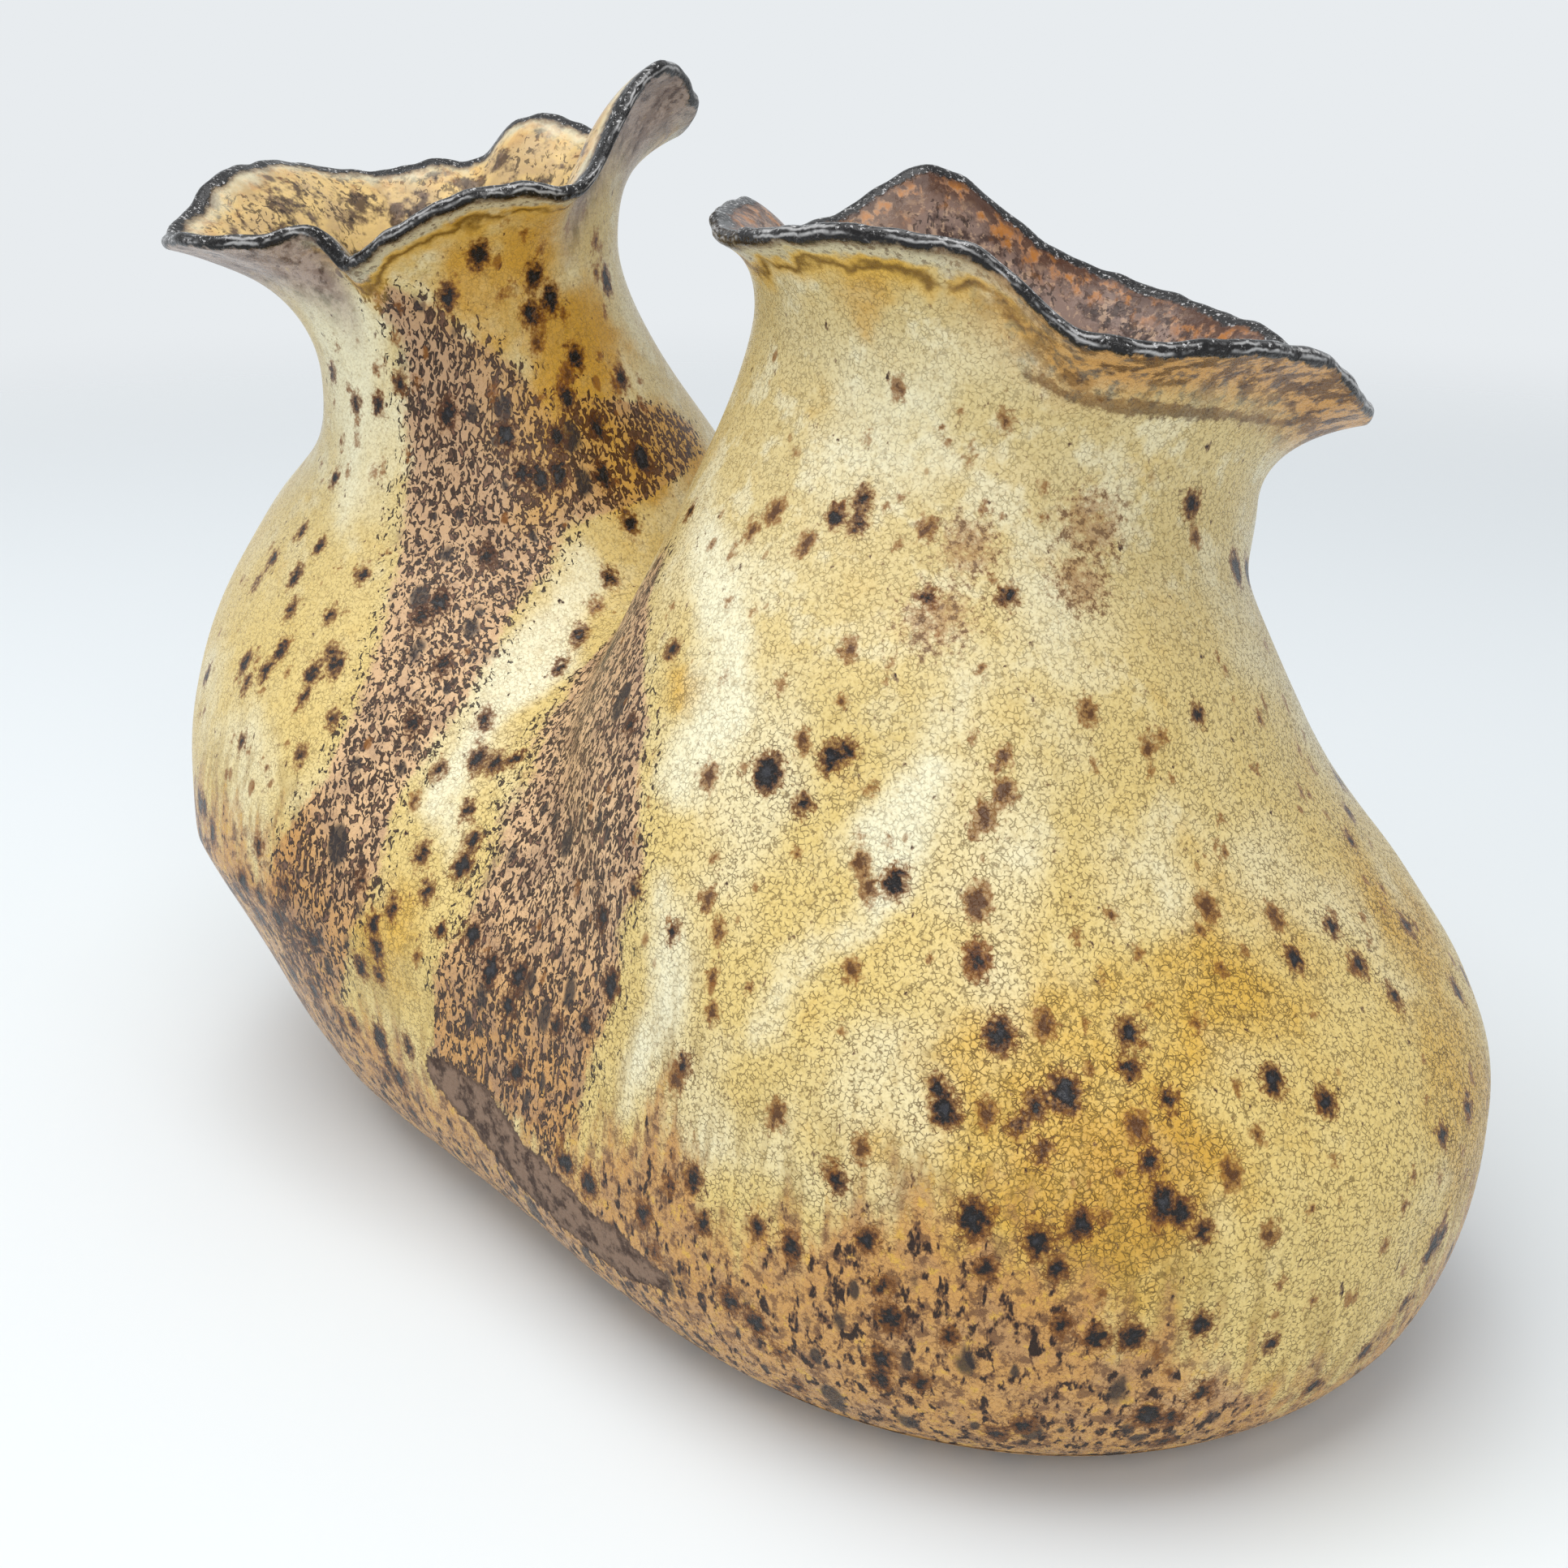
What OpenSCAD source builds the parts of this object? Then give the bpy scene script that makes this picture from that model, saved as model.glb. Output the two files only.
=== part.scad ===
// Twin-necked pottery vase in millimetres, +Z up, origin on the table under the middle of the foot.
// One oval stoneware body carries two necks, each opened into a thin ruffled lip.
// X runs along the body: the larger front pot stands at +X and the smaller rear pot at -X.

/* [Clay] */
// Thickness of the floor slab
floor_t = 8; // [6:0.5:12]
// Thickness of the body wall
body_wall = 6; // [4.5:0.5:7.5]
// Thickness of the wall at the necks
neck_wall = 5; // [4:0.5:6]
// Thickness of the clay at the rim
rim_t = 3; // [2.4:0.2:4]
// Height of the seam round the belly
belly_seam_z = 56; // [48:1:64]
// Share of the way from the saddle to a neck's waist at which the neck is joined on
neck_seam_share = 0.4; // [0.3:0.05:0.6]
// Width of the soft join between the two pots at the foot
foot_blend = 137; // [124:1:150]
// Width of the soft join between the two pots at the crease
crease_blend = 12; // [8:1:18]
// Height at which the soft join has closed up into the crease
crease_z = 126; // [118:1:134]
// Direction in plan along which the mouths tip away from each other, in degrees
tip_direction_angle = 42; // [30:1:55]

/* [Front pot] */
// Distance of the front belly from the middle
front_belly_x = 66.8; // [62:0.2:72]
// Radius of the front belly
front_belly_r = 80; // [74:0.5:86]
// Height of the widest part of the front belly
front_belly_z = 49; // [44:0.5:54]
// Radius of the front end of the foot
front_foot_r = 44.5; // [38:0.5:52]
// Power of the curve from the foot to the front belly
front_foot_power = 2.6; // [2:0.05:3]
// Power of the curve of the front shoulder
front_shoulder_power = 1.27; // [1.1:0.01:1.5]
// Height at which the front shoulder has leant in under its neck
front_lean_z = 108.5; // [100:0.5:118]
// Centre of the front neck along the body
front_neck_x = 40.6; // [37:0.2:45]
// Centre of the front neck across the body
front_neck_y = 16.2; // [10:0.2:20]
// Radius of the front neck at its waist
front_neck_r = 45.4; // [41:0.2:49]
// Height of the waist of the front neck
front_neck_z = 161; // [155:0.5:168]
// Tip of the front neck, in degrees
front_tip_angle = 20.2; // [14:0.2:24]

/* [Rear pot] */
// Distance of the rear belly from the middle
rear_belly_x = -64.8; // [-70:0.2:-60]
// Radius of the rear belly, as a share of the front one's
rear_belly_share = 1.02; // [0.95:0.01:1.08]
// Height of the widest part of the rear belly
rear_belly_z = 62.5; // [58:0.5:68]
// Radius of the rear end of the foot
rear_foot_r = 39; // [32:0.5:46]
// Power of the curve from the foot to the rear belly
rear_foot_power = 1.2; // [1.1:0.05:1.6]
// Power of the curve of the rear shoulder
rear_shoulder_power = 1.22; // [1.1:0.01:1.4]
// Height at which the rear shoulder has leant in under its neck
rear_lean_z = 132; // [122:0.5:142]
// Centre of the rear neck along the body
rear_neck_x = -79.8; // [-84:0.2:-76]
// Centre of the rear neck across the body
rear_neck_y = -11.2; // [-15:0.2:-6]
// Radius of the rear neck at its waist
rear_neck_r = 31; // [28:0.2:35]
// Height of the waist of the rear neck
rear_neck_z = 167.5; // [160:0.5:174]
// Tip of the rear neck, in degrees
rear_tip_angle = 24.4; // [18:0.2:28]

/* [Lips] */
// Share of its height that a lip rises before it flares
upright_share = 0.75; // [0.6:0.05:0.9]
// Share of the front lip's full reach beyond its neck
front_reach_share = 1; // [0.8:0.05:1.1]
// Share of the rear lip's full reach beyond its neck
rear_reach_share = 1; // [0.8:0.05:1.1]
// Extra height of both lips
lip_lift = 0; // [-3:0.5:6]

/* [Hidden] */

FRONT = 1;
REAR = -1;
AROUND = 64;        // points round each half of the body and round each lip
FLOOR_ROWS = 4;     // rows up the edge of the floor slab
BELLY_ROWS = 5;     // rows from the floor up to the belly seam
ARCH_ROWS = 6;      // rows from the belly seam up to the saddle
COLLAR_ROWS = 3;    // rows from the saddle up to the neck seam
NECK_ROWS = 3;      // rows from the neck seam up to the waist
LIP_ROWS = 5;       // rows from the waist up to the rim
HALVINGS = 24;      // steps taken to find a point on the skin
HALF_TURN = 180;    // degrees
FAR = 200;          // farther from a pot's axis than any clay

// Each ruffle point of a rim: direction in plan, reach beyond the neck's waist, rise of its crest.
// Reach and rise are in hundredths of the neck's radius.
FRONT_RIM = [
    [2, 40, 30], [16, 41, 13], [28, 41, 1], [40, 37, -1], [52, 32, 7], [68, 26, 19],
    [83, 24, 24], [102, 24, 32], [119, 22, 44], [131, 22, 61], [140, 22, 75], [147, 22, 79],
    [154, 22, 74], [173, 22, 57], [184, 22, 56], [199, 20, 70], [212, 20, 69],
    [236, 19, 66], [256, 24, 69], [275, 26, 74], [290, 24, 74], [303, 22, 68],
    [310, 26, 58], [317, 31, 45], [324, 36, 41], [338, 40, 40], [353, 40, 36]
];
REAR_RIM = [
    [5, 42, 119], [12, 45, 142], [19, 47, 153], [27, 50, 156], [46, 56, 132], [62, 52, 115],
    [80, 45, 106], [100, 45, 106], [122, 45, 115], [128, 45, 108], [136, 45, 87],
    [150, 45, 84], [171, 55, 76], [184, 65, 82], [202, 71, 87], [215, 76, 81],
    [228, 87, 61], [240, 95, 50], [252, 94, 55], [264, 84, 56], [272, 65, 58],
    [280, 42, 61], [286, 32, 44], [292, 35, 48], [302, 42, 61], [313, 45, 76],
    [326, 48, 87], [338, 48, 90], [348, 45, 86], [357, 42, 95]
];

function belly_x(s) = s == FRONT ? front_belly_x : rear_belly_x;
function belly_r(s) = s == FRONT ? front_belly_r : rear_belly_share * front_belly_r;
function belly_z(s) = s == FRONT ? front_belly_z : rear_belly_z;
function foot_r(s) = s == FRONT ? front_foot_r : rear_foot_r;
function foot_power(s) = s == FRONT ? front_foot_power : rear_foot_power;
function shoulder_power(s) = s == FRONT ? front_shoulder_power : rear_shoulder_power;
function lean_z(s) = s == FRONT ? front_lean_z : rear_lean_z;
function neck_xy(s) = s == FRONT ? [front_neck_x, front_neck_y] : [rear_neck_x, rear_neck_y];
function neck_r(s) = s == FRONT ? front_neck_r : rear_neck_r;
function neck_z(s) = s == FRONT ? front_neck_z : rear_neck_z;
function tip_angle(s) = s == FRONT ? front_tip_angle : rear_tip_angle;
function rim(s) = s == FRONT ? FRONT_RIM : REAR_RIM;
function reach_share(s) = s == FRONT ? front_reach_share : rear_reach_share;

function mix(a, b, t) = a + (b - a) * t;
function ease(t) = let (u = min(max(t, 0), 1)) u * u * (3 - 2 * u);

// Radius of one pot at a level: a full curve from foot to belly, then a soft S up to the neck.
function foot_share(s, w) = pow(1 - pow(1 - w / belly_z(s), foot_power(s)), 1 / foot_power(s));
function shoulder_share(s, w) =
    ease(pow((w - belly_z(s)) / (neck_z(s) - belly_z(s)), shoulder_power(s)));
function pot_r(s, w) =
    w < belly_z(s)
    ? mix(foot_r(s), belly_r(s), foot_share(s, w))
    : mix(belly_r(s), neck_r(s), shoulder_share(s, w));

// The pot leans along the body from its belly up.
function lean(s, w) = ease((w - belly_z(s)) / (lean_z(s) - belly_z(s)));
function axis_x(s, w) = mix(belly_x(s), neck_xy(s).x, lean(s, w));

// The soft join is wide at the foot, so the foot is one oval, and narrow at the crease.
function blend(w) = mix(foot_blend, crease_blend, ease(w / crease_z));
function soft_min(a, b, k) = let (h = max(k - abs(a - b), 0) / k) min(a, b) - h * h * k / 4;

// Halves the span between lo and hi, keeping the end of the clay between them.
function halve(lo, hi, n, inside) =
    n == 0
    ? (lo + hi) / 2
    : let (mid = (lo + hi) / 2)
        inside(mid)
        ? halve(mid, hi, n - 1, inside)
        : halve(lo, mid, n - 1, inside);

// The seam between the pots is a plane across the body where both are equally near at the crease.
MEET_Z = (front_neck_z + rear_neck_z) / 3;
mid_x = (
    axis_x(FRONT, MEET_Z) - pot_r(FRONT, MEET_Z) + axis_x(REAR, MEET_Z) + pot_r(REAR, MEET_Z)
) / 2;

// How far a point of the seam plane, y off the middle line, stands outside the clay.
function seam_gap(y, w) = soft_min(
    norm([mid_x - axis_x(FRONT, w), y]) - pot_r(FRONT, w),
    norm([mid_x - axis_x(REAR, w), y]) - pot_r(REAR, w),
    blend(w)
);

// Top of the saddle, and of the arch inside it.
function saddle_z(depth) =
    halve(belly_seam_z, front_neck_z, HALVINGS, function (w) seam_gap(0, w) < -depth);
SADDLE = [saddle_z(0), saddle_z(body_wall)];

// Above the saddle each neck swings sideways and its mouth tips over.
function neck_share(s, w) = ease((w - SADDLE[0]) / (neck_z(s) - SADDLE[0]));
function axis_xy(s, w) = [axis_x(s, w), neck_xy(s).y * neck_share(s, w)];
function plan_angle(s, a) = s == FRONT ? a : a + HALF_TURN;
function heading(s, a) = s * [cos(a), sin(a)];
function drop(s) = s * neck_r(s) * tan(tip_angle(s));
function tipped(s, a, w) =
    w - neck_share(s, w) * drop(s) * cos(plan_angle(s, a) - tip_direction_angle);

// How far a point stands outside both pots at a level.
function skin_gap(p, w) = soft_min(
    norm(p - axis_xy(FRONT, w)) - pot_r(FRONT, w),
    norm(p - axis_xy(REAR, w)) - pot_r(REAR, w),
    blend(w)
);

function wall_at(s, w) = mix(body_wall, neck_wall, neck_share(s, w));
function saddle(deep) = deep ? SADDLE[1] : SADDLE[0];

// Half the width of the body in the seam plane at a level.
function seam_y(w, depth) = halve(0, FAR, HALVINGS, function (y) seam_gap(y, w) < -depth);

// One row round a pot, from the seam plane round its outer end and back to the seam plane.
// No point is looked for beyond the seam plane, where the other pot begins.
function row(s, w, deep) = let (
    depth = deep ? wall_at(s, w) : 0,
    centre = axis_xy(s, w),
    open = w < saddle(deep),
    y = open ? seam_y(w, depth) : 0,
    span = open ? atan2(y, s * (mid_x - centre.x)) : HALF_TURN
) [
    for (j = [0:AROUND])
        let (a = mix(-span, span, j / AROUND))
        w <= saddle(deep) && (j == 0 || j == AROUND)
        ? [mid_x, (j == 0 ? -s : s) * y, w]
        : let (
            d = heading(s, a),
            limit = cos(a) < 0 ? min(FAR, (mid_x - centre.x) / d.x) : FAR,
            r = halve(0, limit, HALVINGS, function (r) skin_gap(centre + r * d, w) < -depth),
            p = centre + r * d
        ) [p.x, p.y, tipped(s, a, w)]
];

// One row right round the body, below the saddle.
function full_row(w, deep) = let (
    rear = row(REAR, w, deep)
) concat(row(FRONT, w, deep), [for (j = [1:AROUND]) rear[j]]);

function steps(from, to, n) = [for (i = [0:n]) mix(from, to, i / n)];
function reversed(list) = [for (i = [len(list) - 1:-1:0]) list[i]];
function flatten(list) = [for (part = list) each part];

// Levels of a shoulder: up the arch, closer together near its top, then on to the neck seam.
function neck_seam_z(s) = mix(SADDLE[0], neck_z(s), neck_seam_share);
function shoulder_levels(s, deep) = concat(
    [for (i = [0:ARCH_ROWS]) mix(belly_seam_z, saddle(deep), sin(90 * i / ARCH_ROWS))],
    [for (i = [1:COLLAR_ROWS]) mix(saddle(deep), neck_seam_z(s), i / COLLAR_ROWS)]
);

// Height and reach of the rim in one direction, on a smooth curve through the ruffle points.
function knot(list, k) = let (
    n = len(list),
    turn = floor(k / n),
    p = list[k - turn * n]
) [p[0] + 360 * turn, p[1], p[2]];
function slope(list, k, c) = let (
    a = knot(list, k - 1),
    b = knot(list, k),
    d = knot(list, k + 1),
    before = (b[c] - a[c]) / (b[0] - a[0]),
    after = (d[c] - b[c]) / (d[0] - b[0])
) (before * (d[0] - b[0]) + after * (b[0] - a[0])) / (d[0] - a[0]);
function along_rim(list, angle, c) = let (
    turned = angle - 360 * floor((angle - list[0][0]) / 360),
    k = max([for (i = [0:len(list) - 1]) if (list[i][0] <= turned) i]),
    a = knot(list, k),
    b = knot(list, k + 1),
    gap = b[0] - a[0],
    t = (turned - a[0]) / gap
) a[c] * (1 + 2 * t) * (1 - t) * (1 - t)
    + b[c] * t * t * (3 - 2 * t)
    + gap * (slope(list, k, c) * t * (1 - t) * (1 - t) - slope(list, k + 1, c) * t * t * (1 - t));

// The lip leaves the waist upright and curls out to the rim: [distance out, height] from the waist.
function curl(out, up, t) = [out * t * t, 2 * upright_share * up * t * (1 - t) + up * t * t];
function curl_side(out, up, t) = let (
    d = [2 * out * t, 2 * upright_share * up * (1 - 2 * t) + 2 * up * t]
) [d.y, -d.x] / norm(d);

// One upright section through a lip: up the outside, over the rounded rim, down the inside.
function lip_section(s, a, outer, inner) = let (
    thick = norm(outer - inner),
    reach = neck_r(s) * along_rim(rim(s), plan_angle(s, a), 1) / 100,
    crest_z = neck_z(s) + neck_r(s) * along_rim(rim(s), plan_angle(s, a), 2) / 100,
    out = reach_share(s) * reach - rim_t / 2,
    up = crest_z + lip_lift - outer.z - rim_t / 2,
    d = heading(s, a),
    levels = steps(0, 1, LIP_ROWS),
    outside = [for (t = levels) curl(out, up, t)],
    inside = [for (t = levels) curl(out, up, t) - mix(thick, rim_t, t) * curl_side(out, up, t)],
    edge = (outside[LIP_ROWS] + inside[LIP_ROWS]) / 2,
    side = curl_side(out, up, 1),
    crest = edge + rim_t / 2 * [-side.y, side.x]
) [
    for (q = concat(outside, [crest], reversed(inside)))
        [outer.x + q.x * d.x, outer.y + q.x * d.y, outer.z + q.y]
];

// Two triangles for each gap between rows; a closing strip is cut on the other diagonal.
function strip(a, b, n, closing) = [
    for (j = [0:n - 2])
        each closing
        ? [[a + j, b + j, a + j + 1], [a + j + 1, b + j, b + j + 1]]
        : [[a + j, b + j, b + j + 1], [a + j, b + j + 1, a + j + 1]]
];

// A wall closed all the way round, from rows listed up the outside and down the inside.
module ring_wall(rows) {
    n = len(rows[0]);
    last = len(rows) - 1;
    polyhedron(
        flatten(rows),
        concat(
            flatten([for (i = [0:last - 1]) strip(i * n, (i + 1) * n, n, false)]),
            strip(last * n, 0, n, true)
        ),
        convexity = 8
    );
}

// A shoulder is open along the arch in the seam plane, where the other shoulder is luted on.
module shoulder(s) {
    outside = [for (w = shoulder_levels(s, false)) row(s, w, false)];
    inside = [for (w = shoulder_levels(s, true)) row(s, w, true)];
    rows = concat(outside, reversed(inside));
    n = AROUND + 1;
    last = len(rows) - 1;
    arch = [for (i = [0:ARCH_ROWS]) i * n];
    arch_inside = [for (i = [0:ARCH_ROWS]) (last - i) * n];
    polyhedron(
        flatten(rows),
        concat(
            flatten([for (i = [0:last - 1]) strip(i * n, (i + 1) * n, n, false)]),
            strip(last * n, 0, n, true),
            flatten([
                for (i = [0:ARCH_ROWS - 1]) [
                    [arch[i], arch_inside[i + 1], arch[i + 1]],
                    [arch[i], arch_inside[i], arch_inside[i + 1]],
                    [arch[i] + AROUND, arch[i + 1] + AROUND, arch_inside[i + 1] + AROUND],
                    [arch[i] + AROUND, arch_inside[i + 1] + AROUND, arch_inside[i] + AROUND]
                ]
            ])
        ),
        convexity = 8
    );
}

module neck(s) {
    levels = steps(neck_seam_z(s), neck_z(s), NECK_ROWS);
    outside = [for (w = levels) row(s, w, false)];
    inside = [for (w = levels) row(s, w, true)];
    ring_wall(concat(outside, reversed(inside)));
}

module lip(s) {
    outer = row(s, neck_z(s), false);
    inner = row(s, neck_z(s), true);
    angles = steps(-HALF_TURN, HALF_TURN, AROUND);
    sections = [for (j = [0:AROUND]) lip_section(s, angles[j], outer[j], inner[j])];
    ring_wall([for (i = [0:len(sections[0]) - 1]) [for (section = sections) section[i]]]);
}

module floor_slab() {
    // Rows crowd towards the table, where the edge of the foot turns in sharply.
    rows = [for (t = steps(0, 1, FLOOR_ROWS)) full_row(floor_t * t * t, false)];
    n = len(rows[0]);
    under = len(rows) * n;
    over = under + 1;
    color("#8a6a48")
        polyhedron(
            concat(flatten(rows), [[0, 0, 0], [0, 0, floor_t]]),
            concat(
                flatten([for (i = [0:FLOOR_ROWS - 1]) strip(i * n, (i + 1) * n, n, false)]),
                [for (j = [0:n - 2]) [j, j + 1, under]],
                [for (j = [0:n - 2]) [FLOOR_ROWS * n + j + 1, FLOOR_ROWS * n + j, over]]
            ),
            convexity = 4
        );
}

module belly_wall() {
    levels = steps(floor_t, belly_seam_z, BELLY_ROWS);
    outside = [for (w = levels) full_row(w, false)];
    inside = [for (w = levels) full_row(w, true)];
    color("#d8b765") ring_wall(concat(outside, reversed(inside)));
}

module front_shoulder() { color("#e3cb86") shoulder(FRONT); }
module rear_shoulder() { color("#cfa95c") shoulder(REAR); }
module front_neck() { color("#dcc37c") neck(FRONT); }
module rear_neck() { color("#c79f52") neck(REAR); }
module front_lip() { color("#5a4a40") lip(FRONT); }
module rear_lip() { color("#52433a") lip(REAR); }

floor_slab();
belly_wall();
front_shoulder();
rear_shoulder();
front_neck();
rear_neck();
front_lip();
rear_lip();
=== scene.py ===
"""Looks of the twin-necked pottery vase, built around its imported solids.

The vase's skin is worked out here again, finely, by the rule that shapes the solids.
Each clay piece stands for its own node. Lengths are millimetres until a mesh is made.
"""

import math
from dataclasses import dataclass

import bpy
import numpy as np
from mathutils import Matrix, Vector


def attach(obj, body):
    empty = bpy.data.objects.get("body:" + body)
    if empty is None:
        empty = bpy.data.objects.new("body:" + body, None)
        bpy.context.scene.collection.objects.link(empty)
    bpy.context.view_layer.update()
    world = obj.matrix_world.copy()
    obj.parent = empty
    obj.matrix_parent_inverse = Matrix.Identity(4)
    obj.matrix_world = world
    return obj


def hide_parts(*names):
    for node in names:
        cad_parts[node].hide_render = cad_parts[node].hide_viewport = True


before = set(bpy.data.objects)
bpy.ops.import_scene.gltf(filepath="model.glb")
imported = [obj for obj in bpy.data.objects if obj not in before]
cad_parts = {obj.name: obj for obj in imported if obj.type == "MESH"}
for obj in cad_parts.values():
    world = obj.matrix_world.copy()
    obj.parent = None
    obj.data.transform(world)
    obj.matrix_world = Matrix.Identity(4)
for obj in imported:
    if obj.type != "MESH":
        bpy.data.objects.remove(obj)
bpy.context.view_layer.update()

MM = 0.001

# Clay sizes, as in the solids.
FLOOR_T = 8
BODY_WALL = 6
NECK_WALL = 5
RIM_T = 3
BELLY_SEAM_Z = 56
NECK_SEAM_SHARE = 0.4
FOOT_BLEND = 137
CREASE_BLEND = 12
CREASE_Z = 126
TIP_DIRECTION = math.radians(42)
UPRIGHT_SHARE = 0.75
FAR = 200

# How finely each piece is drawn.
AROUND = 288
FLOOR_ROWS = 8
FLOOR_RINGS = 6
BELLY_ROWS = 44
ARCH_ROWS = 72
COLLAR_ROWS = 14
NECK_ROWS = 26
LIP_ROWS = 30
RIM_STEPS = 8
HALVINGS = 44

OUTSIDE = 0
INSIDE = 1
JOINT = 2


@dataclass(frozen=True)
class Pot:
    """One of the two pots that the body joins."""

    side: int
    belly_x: float
    belly_r: float
    belly_z: float
    foot_r: float
    foot_power: float
    shoulder_power: float
    lean_z: float
    neck_x: float
    neck_y: float
    neck_r: float
    neck_z: float
    tip: float
    rim: tuple


# Ruffle points of the rims: direction in plan, then reach and rise in hundredths of the neck's radius.
FRONT_RIM = (
    (2, 40, 30), (16, 41, 13), (28, 41, 1), (40, 37, -1), (52, 32, 7), (68, 26, 19),
    (83, 24, 24), (102, 24, 32), (119, 22, 44), (131, 22, 61), (140, 22, 75), (147, 22, 79),
    (154, 22, 74), (173, 22, 57), (184, 22, 56), (199, 20, 70), (212, 20, 69),
    (236, 19, 66), (256, 24, 69), (275, 26, 74), (290, 24, 74), (303, 22, 68),
    (310, 26, 58), (317, 31, 45), (324, 36, 41), (338, 40, 40), (353, 40, 36),
)
REAR_RIM = (
    (5, 42, 119), (12, 45, 142), (19, 47, 153), (27, 50, 156), (46, 56, 132), (62, 52, 115),
    (80, 45, 106), (100, 45, 106), (122, 45, 115), (128, 45, 108), (136, 45, 87),
    (150, 45, 84), (171, 55, 76), (184, 65, 82), (202, 71, 87), (215, 76, 81),
    (228, 87, 61), (240, 95, 50), (252, 94, 55), (264, 84, 56), (272, 65, 58),
    (280, 42, 61), (286, 32, 44), (292, 35, 48), (302, 42, 61), (313, 45, 76),
    (326, 48, 87), (338, 48, 90), (348, 45, 86), (357, 42, 95),
)
REACH = 1
RISE = 2
HUNDREDTHS = 100
# Small ripples that the fingers left along both rims: waves round the rim, height and start.
RIM_RIPPLES = ((17, 0.16, 0.4), (31, 0.12, 1.9), (53, 0.08, 5.0))
FRONT = Pot(
    side=1, belly_x=66.8, belly_r=80, belly_z=49, foot_r=44.5, foot_power=2.6, shoulder_power=1.27,
    lean_z=108.5, neck_x=40.6, neck_y=16.2, neck_r=45.4, neck_z=161, tip=math.radians(20.2), rim=FRONT_RIM,
)
REAR = Pot(
    side=-1, belly_x=-64.8, belly_r=81.6, belly_z=62.5, foot_r=39, foot_power=1.2, shoulder_power=1.22,
    lean_z=132, neck_x=-79.8, neck_y=-11.2, neck_r=31, neck_z=167.5, tip=math.radians(24.4), rim=REAR_RIM,
)


def mix(a, b, t):
    return a + (b - a) * t


def ease(t):
    t = np.clip(t, 0, 1)
    return t * t * (3 - 2 * t)


def between(value, lo, hi):
    """0 below lo, 1 above hi, and a soft rise between them."""
    return ease((value - lo) / (hi - lo))


def pot_r(pot, w):
    if w < pot.belly_z:
        share = (1 - (1 - w / pot.belly_z) ** pot.foot_power) ** (1 / pot.foot_power)
        return mix(pot.foot_r, pot.belly_r, share)
    share = ease(((w - pot.belly_z) / (pot.neck_z - pot.belly_z)) ** pot.shoulder_power)
    return mix(pot.belly_r, pot.neck_r, share)


def axis_x(pot, w):
    return mix(pot.belly_x, pot.neck_x, ease((w - pot.belly_z) / (pot.lean_z - pot.belly_z)))


def blend(w):
    return mix(FOOT_BLEND, CREASE_BLEND, ease(w / CREASE_Z))


def soft_min(a, b, k):
    h = np.maximum(k - np.abs(a - b), 0) / k
    return np.minimum(a, b) - h * h * k / 4


def halve(lo, hi, inside):
    """Narrows the span from lo to hi down to the place where the clay ends."""
    lo = np.array(lo, float)
    hi = np.array(hi, float)
    for _ in range(HALVINGS):
        middle = (lo + hi) / 2
        kept = inside(middle)
        lo = np.where(kept, middle, lo)
        hi = np.where(kept, hi, middle)
    return (lo + hi) / 2


# The seam plane lies midway between the pots at two thirds of their necks' mean height.
MEET_Z = (FRONT.neck_z + REAR.neck_z) / 3
MID_X = (
    axis_x(FRONT, MEET_Z) - pot_r(FRONT, MEET_Z) + axis_x(REAR, MEET_Z) + pot_r(REAR, MEET_Z)
) / 2


def seam_gap(y, w):
    front = np.hypot(MID_X - axis_x(FRONT, w), y) - pot_r(FRONT, w)
    rear = np.hypot(MID_X - axis_x(REAR, w), y) - pot_r(REAR, w)
    return soft_min(front, rear, blend(w))


def saddle_z(depth):
    return float(halve(BELLY_SEAM_Z, FRONT.neck_z, lambda w: seam_gap(0, float(w)) < -depth))


SADDLE = (saddle_z(0), saddle_z(BODY_WALL))


def neck_share(pot, w):
    return float(ease((w - SADDLE[0]) / (pot.neck_z - SADDLE[0])))


def axis_xy(pot, w):
    return axis_x(pot, w), pot.neck_y * neck_share(pot, w)


def plan_angle(pot, a):
    return a if pot.side > 0 else a + math.pi


def tipped(pot, a, w):
    drop = pot.side * pot.neck_r * math.tan(pot.tip)
    return w - neck_share(pot, w) * drop * np.cos(plan_angle(pot, a) - TIP_DIRECTION)


def skin_gap(x, y, w):
    gaps = []
    for pot in (FRONT, REAR):
        cx, cy = axis_xy(pot, w)
        gaps.append(np.hypot(x - cx, y - cy) - pot_r(pot, w))
    return soft_min(gaps[0], gaps[1], blend(w))


def row(pot, w, deep):
    """Points round a pot at one level, from the seam plane round its outer end and back."""
    depth = mix(BODY_WALL, NECK_WALL, neck_share(pot, w)) if deep else 0
    cx, cy = axis_xy(pot, w)
    is_open = w < SADDLE[deep]
    y = float(halve(0, FAR, lambda v: seam_gap(v, w) < -depth)) if is_open else 0
    span = math.atan2(y, pot.side * (MID_X - cx)) if is_open else math.pi
    a = np.linspace(-span, span, AROUND + 1)
    dx = pot.side * np.cos(a)
    dy = pot.side * np.sin(a)
    towards = np.cos(a) < 0
    limit = np.where(towards, np.minimum(FAR, (MID_X - cx) / np.where(towards, dx, 1)), FAR)
    r = halve(np.zeros_like(limit), limit, lambda v: skin_gap(cx + v * dx, cy + v * dy, w) < -depth)
    points = np.stack([cx + r * dx, cy + r * dy, tipped(pot, a, w)], -1)
    if w <= SADDLE[deep]:
        points[0] = (MID_X, -pot.side * y, w)
        points[-1] = (MID_X, pot.side * y, w)
    return points


def full_row(w, deep):
    return np.concatenate([row(FRONT, w, deep), row(REAR, w, deep)[1:]])


def neck_seam_z(pot):
    return mix(SADDLE[0], pot.neck_z, NECK_SEAM_SHARE)


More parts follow.
